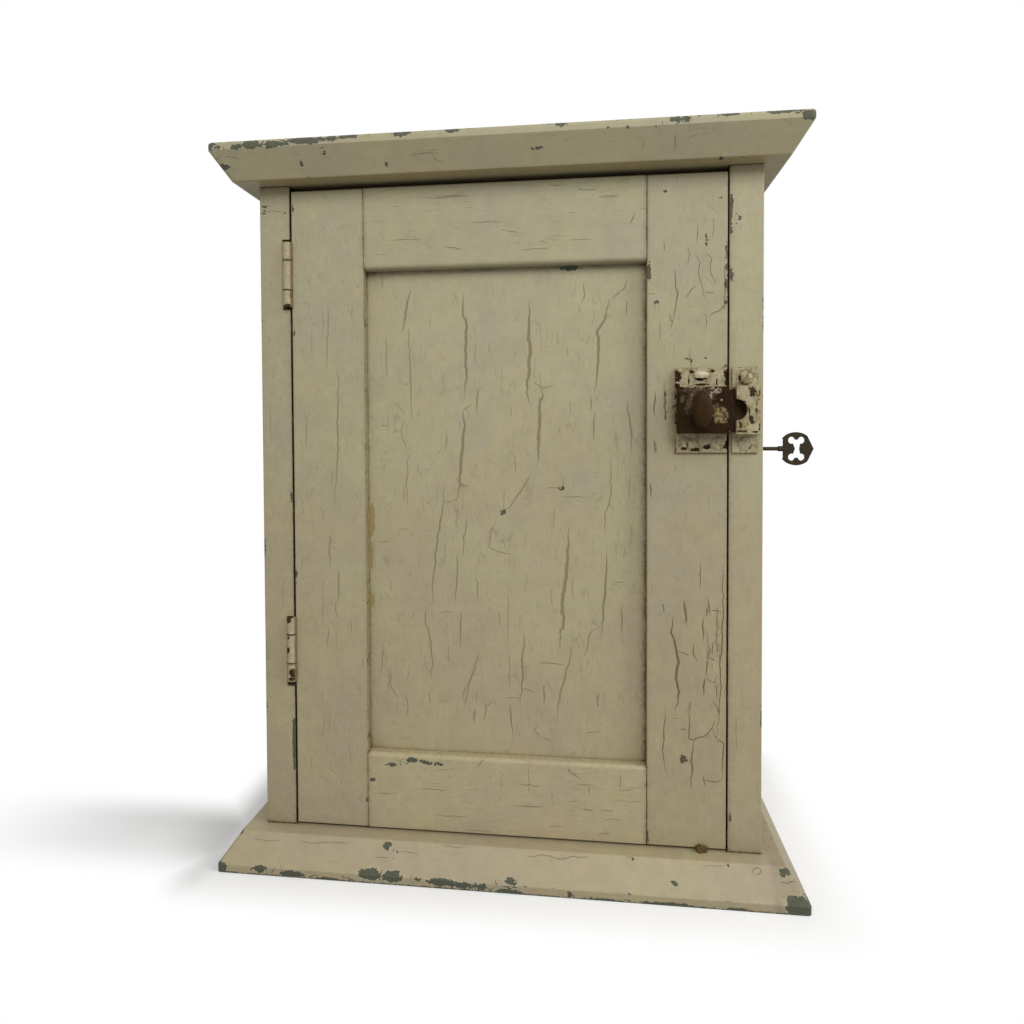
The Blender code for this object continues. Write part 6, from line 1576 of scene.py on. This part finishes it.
KEEP_GOLD = (
    (160.4, 312.6, 1.3, 1.2), (162.4, 314.6, 0.7, 1.6), (159, 316.2, 0.9, 0.6), (162.9, 325, 0.7, 2),
    (163.4, 320, 0.5, 1.3), (161.5, 310, 0.9, 0.5),
)
KEEP_LILAC = ((156.6, 334.2, 1.6, 3.6), (160.5, 337.6, 2.5, 1))


def keep_plate_depth(x, z):
    """Y of the keep's plate and its screws, sloping off to the wood outside the plate."""
    plate = CARCASS_FRONT + (PLATE_FRONT - CARCASS_FRONT) * inside_box(x, z, KEEP_PLATE, 0.5 * MM)
    return np.minimum(plate, domed_screws(x, z, KEEP_SCREWS))


def keep_plate_fields(x, z, gone):
    """Paint with a little lilac and green, dirtier along the box."""
    by_box = inside_box(x, z, KEEP_BOX, 1.6 * MM)
    spread = flakes(x, z, 3.0, 41)
    tint = np.stack((0.15 * (spread > 0.62), 0.22 * (spread < 0.42), 0.2 * (spread > 0.70)), axis=-1)
    edge = 1 - inside_box(x, z, KEEP_PLATE, 1.8 * MM)
    ring = np.exp(-((np.hypot(x - KEEP_SCREWS[0][0], z - KEEP_SCREWS[0][1]) - 0.0052) / 0.0007) ** 2)
    near = ragged_ovals(x, z, KEEP_PLATE_BARE, 43, 2.0, 1.6, 1.8)
    grime = 0.05 + 0.45 * by_box + 0.40 * edge + 0.75 * ring + 0.45 * near + 0.75 * blotches(x, z, 42)
    dark = ((0.1500, KEEP_BOX[0][1] + 1.5 * MM), (KEEP_BOX[1][0] - 1.5 * MM, KEEP_BOX[1][1] - 1.5 * MM))
    cover = (1 - gone) * (1 - inside_box(x, z, dark, 0.3 * MM))
    return {"cover": cover, "grime": np.clip(grime, 0, 0.9), "tint": tint}


coat = paint_coat("keep_plate_paint", *KEEP_FILM, FILM_HEIGHTS, 78, keep_plate_depth,
                  lambda x, z: ragged_ovals(x, z, KEEP_PLATE_BARE, 43, 2.0, 1.6, 0.5), keep_plate_fields)
coat.data.materials.append(coat_material("Keep plate paint", KEEP_PLATE_CREAM, KEEP_PLATE_IRON))
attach(coat, "carcass")


def thumb_edge(z):
    """X of the box's left edge, with the half round cut at its middle."""
    half = np.sqrt(np.clip(THUMB_RADIUS ** 2 - (z - LATCH_Z) ** 2, 0, None))
    return KEEP_BOX[0][0] + half - 0.05 * MM


def keep_box_fields(x, z, gone):
    """Paint with lilac along the mouth, gold below it and rust at the right edge."""
    scales = unit(1.8 * flakes(x, z, 1.1, 58) - 0.3)
    patches = ((KEEP_GOLD, 51, 0.9), (KEEP_LILAC, 52, 0.4), (KEEP_RUST, 53, 0.75 * scales))
    tint = np.stack([share * ragged_ovals(x, z, ovals, seed, 0.8, 1.2, 0.5)
                     for ovals, seed, share in patches], axis=-1)
    near = ragged_ovals(x, z, KEEP_BOX_BARE, 54, 2.0, 1.6, 1.8)
    edge = 1 - inside_box(x, z, KEEP_BOX, 1.2 * MM)
    by_cut = np.exp(-unit(np.hypot(x - KEEP_BOX[0][0], z - LATCH_Z) - THUMB_RADIUS) / 0.0012)
    grime = 0.05 + 0.8 * blotches(x, z, 55) + 0.45 * near + 0.35 * edge + 0.45 * by_cut
    return {"cover": 1 - gone, "grime": np.clip(grime, 0, 0.95), "tint": tint}


heights = np.arange(KEEP_BOX[0][1] - 0.15 * MM, KEEP_BOX[1][1] + 0.15 * MM, 0.00022)
coat = paint_coat("keep_box_paint", thumb_edge(heights), KEEP_BOX[1][0] + 0.15 * MM, heights, 76,
                  lambda x, z: KEEP_FRONT - 0.22 * MM * (flakes(x, z, 3.2, 57) - 0.5) + 0.1 * MM,
                  lambda x, z: ragged_ovals(x, z, KEEP_BOX_BARE, 54, 2.0, 1.6, 0.5), keep_box_fields)
coat.data.materials.append(coat_material("Keep box paint", KEEP_CREAM))
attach(coat, "carcass")


def keep_finish():
    """Material of the keep's casting: painted outside, and dark inside the box and on the cut's rim."""
    material, shader, place = new_material("Keep casting", 0.05)
    parts = node("SeparateXYZ", place)
    inside = ramp(parts["X"], 168.7, 168.9, 1.0, 0.0)
    inside = inside * ramp(parts["Z"], 308.9, 309.1) * ramp(parts["Z"], 337.1, 337.3, 1.0, 0.0)
    face = ramp(parts["Y"], -97.3, -97.1, 1.0, 0.0)
    coat = node("Group", place, larger(inside, face) * -9.0 + 9.0, KEEP_CREAM, KEEP_IRON, KEEP_IRON_RUST,
                0.74, node_tree=flaked_iron)
    fill(shader, {"Base Color": coat["Color"], "Roughness": coat["Roughness"],
                  "Normal": raised(coat["Height"])})
    return material


finish_nodes(keep_finish(), "latch_keep")

# Lump. A crumb of brown wax or gum, stuck on the base board in front of the door's lower edge.

LUMP_CENTRE = (0.1354, -0.0872, 0.0254)
LUMP_HALF = (0.0038, 0.0020, 0.0032)
GUM_DARK = (0.060, 0.034, 0.010, 1)
GUM_PALE = (0.120, 0.078, 0.028, 1)
rise = np.radians(np.linspace(2, 178, 22))[:, None]
turn = np.linspace(0, 2 * np.pi, 36, endpoint=False)
bulge = 1 + 0.20 * np.sin(3 * turn + 1) * np.sin(rise)
bulge = bulge + 0.18 * np.sin(5 * turn + 4 * rise) * np.sin(rise) ** 2
bulge = bulge + 0.13 * np.sin(9 * turn) * np.sin(3 * rise) * np.sin(rise)
points = np.stack((LUMP_CENTRE[0] + LUMP_HALF[0] * bulge * np.sin(rise) * np.cos(turn),
                   LUMP_CENTRE[1] + LUMP_HALF[1] * bulge * np.sin(rise) * np.sin(turn),
                   LUMP_CENTRE[2] - LUMP_HALF[2] * bulge * np.cos(rise)), axis=-1)
lump = skin("brown_crumb", points)
material, shader, place = new_material("Brown gum", 0.05)
grain = speckle(place, 0.9, 4.0, 0.65)
fill(shader, {"Base Color": blend(ramp(grain, 0.35, 0.65), GUM_DARK, GUM_PALE),
              "Roughness": uneven(grain, 0.35, 0.6), "Normal": raised(grain * 0.5)})
lump.data.materials.append(material)
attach(lump, "carcass")

# Lock and key. A pressed steel lock on the inside of the right side board, the link plate that
# it holds on the door, and a browned steel key with a pierced bow.

LOCK_STEEL = (0.10, 0.08, 0.06, 1)
KEY_STEEL = (0.035, 0.028, 0.018, 1)
KEY_RUST = (0.072, 0.035, 0.018, 1)
KEY_SHINE = 0.5

finish_nodes(bare_iron("Lock steel", LOCK_STEEL), "lock_case", "lock_cap", "lock_bolt",
             "lock_spring", "latch_spring", "link_plate")
finish_nodes(bare_iron("Key steel", KEY_STEEL, KEY_RUST, KEY_SHINE), "key")
for kind, settings in (("WELD", {"merge_threshold": 0.01 * MM}),
                       ("BEVEL", {"width": 0.40 * MM, "segments": 3, "limit_method": "ANGLE",
                                  "angle_limit": np.radians(50), "harden_normals": False})):
    finish = nodes["key"].modifiers.new(kind.title(), kind)
    for setting, value in settings.items():
        setattr(finish, setting, value)

# Floor. A plain white sheet under and behind the cupboard. Away from the cupboard it is white to
# the camera and in reflections, and close to it the cupboard's shadow stays. By the left end of the base
# the sheet's own colour is darker: painted shadow.

FLOOR_SIZE = 6.0
FLOOR_WHITE = (0.86, 0.86, 0.86, 1)
FLOOR_PAINTED_SHADOW = (0.66, 0.66, 0.66, 1)
FLOOR_GREY = (0.40, 0.40, 0.40, 1)
BASE_HALF, BASE_DEPTH = 0.201, 0.111
CONTACT = (0.004, 0.045)
DRIFT_MIDDLE = -0.066
DRIFT_WIDTH = (0.012, 0.062)
DRIFT_LENGTH = (-0.46, -0.27)


def seen_rays(tree):
    """1 for rays of the camera, of mirror images and through glass, and 0 for the rest of the light."""
    rays = node("LightPath", tree=tree)
    return larger(larger(rays["Is Camera Ray"], rays["Is Glossy Ray"]), rays["Is Transmission Ray"])


floor_mesh = bpy.data.meshes.new("floor")
floor_mesh.from_pydata([(x * FLOOR_SIZE, y * FLOOR_SIZE, 0) for x, y in ((-1, -1), (1, -1), (1, 1), (-1, 1))],
                       [], [(0, 1, 2, 3)])
floor = bpy.data.objects.new("floor", floor_mesh)
bpy.context.scene.collection.objects.link(floor)
sheet = bpy.data.materials.new("Floor sheet")
sheet.use_nodes = True
tree = sheet.node_tree
tree.nodes.remove(tree.nodes["Principled BSDF"])
parts = node("SeparateXYZ", node("TexCoord", tree=tree)["Object"])
beside = larger(abs(parts["X"]) - BASE_HALF, 0.0)
before = larger(abs(parts["Y"]) - BASE_DEPTH, 0.0)
away = length_of(node("CombineXYZ", beside, before, 0.0)["Vector"])
drift = ramp(abs(parts["Y"] - DRIFT_MIDDLE), *DRIFT_WIDTH, 1.0, 0.0) * ramp(parts["X"], *DRIFT_LENGTH)
kept = larger(ramp(away, *CONTACT, 1.0, 0.0), drift * ramp(parts["X"], -0.1, 0.0, 1.0, 0.0))
# Darker sheet colour by the left end of the base: painted shadow.
darker = ramp(away, 0.0, 0.075, 1.0, 0.0) * ramp(parts["X"], -0.22, -0.20, 1.0, 0.0)
seen = seen_rays(tree)
dull = node("BsdfDiffuse", blend(seen, FLOOR_GREY, blend(darker, FLOOR_WHITE, FLOOR_PAINTED_SHADOW)))["BSDF"]
white = node("Emission", (1, 1, 1, 1), 1.0, tree=tree)["Emission"]
distant = node("MixShader", seen, dull, white)["Shader"]
fill(tree.nodes["Material Output"].inputs, {"Surface": node("MixShader", kept, distant, dull)["Shader"]})
floor_mesh.materials.append(sheet)

# Light. A soft white room, a broad lamp high up in front, and a smaller one at the right.

world = bpy.data.worlds.new("Room")
bpy.context.scene.world = world
world.use_nodes = True
tree = world.node_tree
tree.nodes.remove(tree.nodes["Background"])
room = node("Background", (1, 1, 1, 1), 0.45, tree=tree)["Background"]
backdrop = node("Background", (1, 1, 1, 1), 1.0, tree=tree)["Background"]
white_room = node("MixShader", seen_rays(tree), room, backdrop)["Shader"]
fill(tree.nodes["World Output"].inputs, {"Surface": white_room})


def soft_lamp(name, place, aim, width, height, power):
    """Rectangular lamp at a place, turned to face a point."""
    lamp = bpy.data.lights.new(name, "AREA")
    lamp.shape = "RECTANGLE"
    lamp.size, lamp.size_y, lamp.energy = width, height, power
    holder = bpy.data.objects.new(name, lamp)
    bpy.context.scene.collection.objects.link(holder)
    holder.location = place
    towards = np.array(aim) - np.array(place)
    flat = np.hypot(towards[0], towards[1])
    holder.rotation_euler = (np.arctan2(flat, -towards[2]), 0, np.arctan2(-towards[0], towards[1]))


soft_lamp("Window right", (1.50, -0.45, 1.10), (0, 0, 0.2), 1.0, 1.0, 17)
soft_lamp("Ceiling front", (0.30, -1.90, 1.70), (0, 0, 0.25), 1.8, 1.2, 34)

# Camera. A short lens close to the cupboard, a little right of its middle and turned left.

camera_data = bpy.data.cameras.new("Camera")
camera_data.sensor_width = 36
camera_data.lens = 26.10
camera_data.shift_x = 0.0144
camera_data.shift_y = -0.0615
camera_data.clip_start = 0.01
camera = bpy.data.objects.new("Camera", camera_data)
bpy.context.scene.collection.objects.link(camera)
camera.location = (0.06208, -0.59766, 0.31115)
camera.rotation_euler = np.radians((88.51016552, 0.26100544, 7.28355060))
bpy.context.scene.camera = camera
bpy.context.scene.view_settings.view_transform = "Standard"
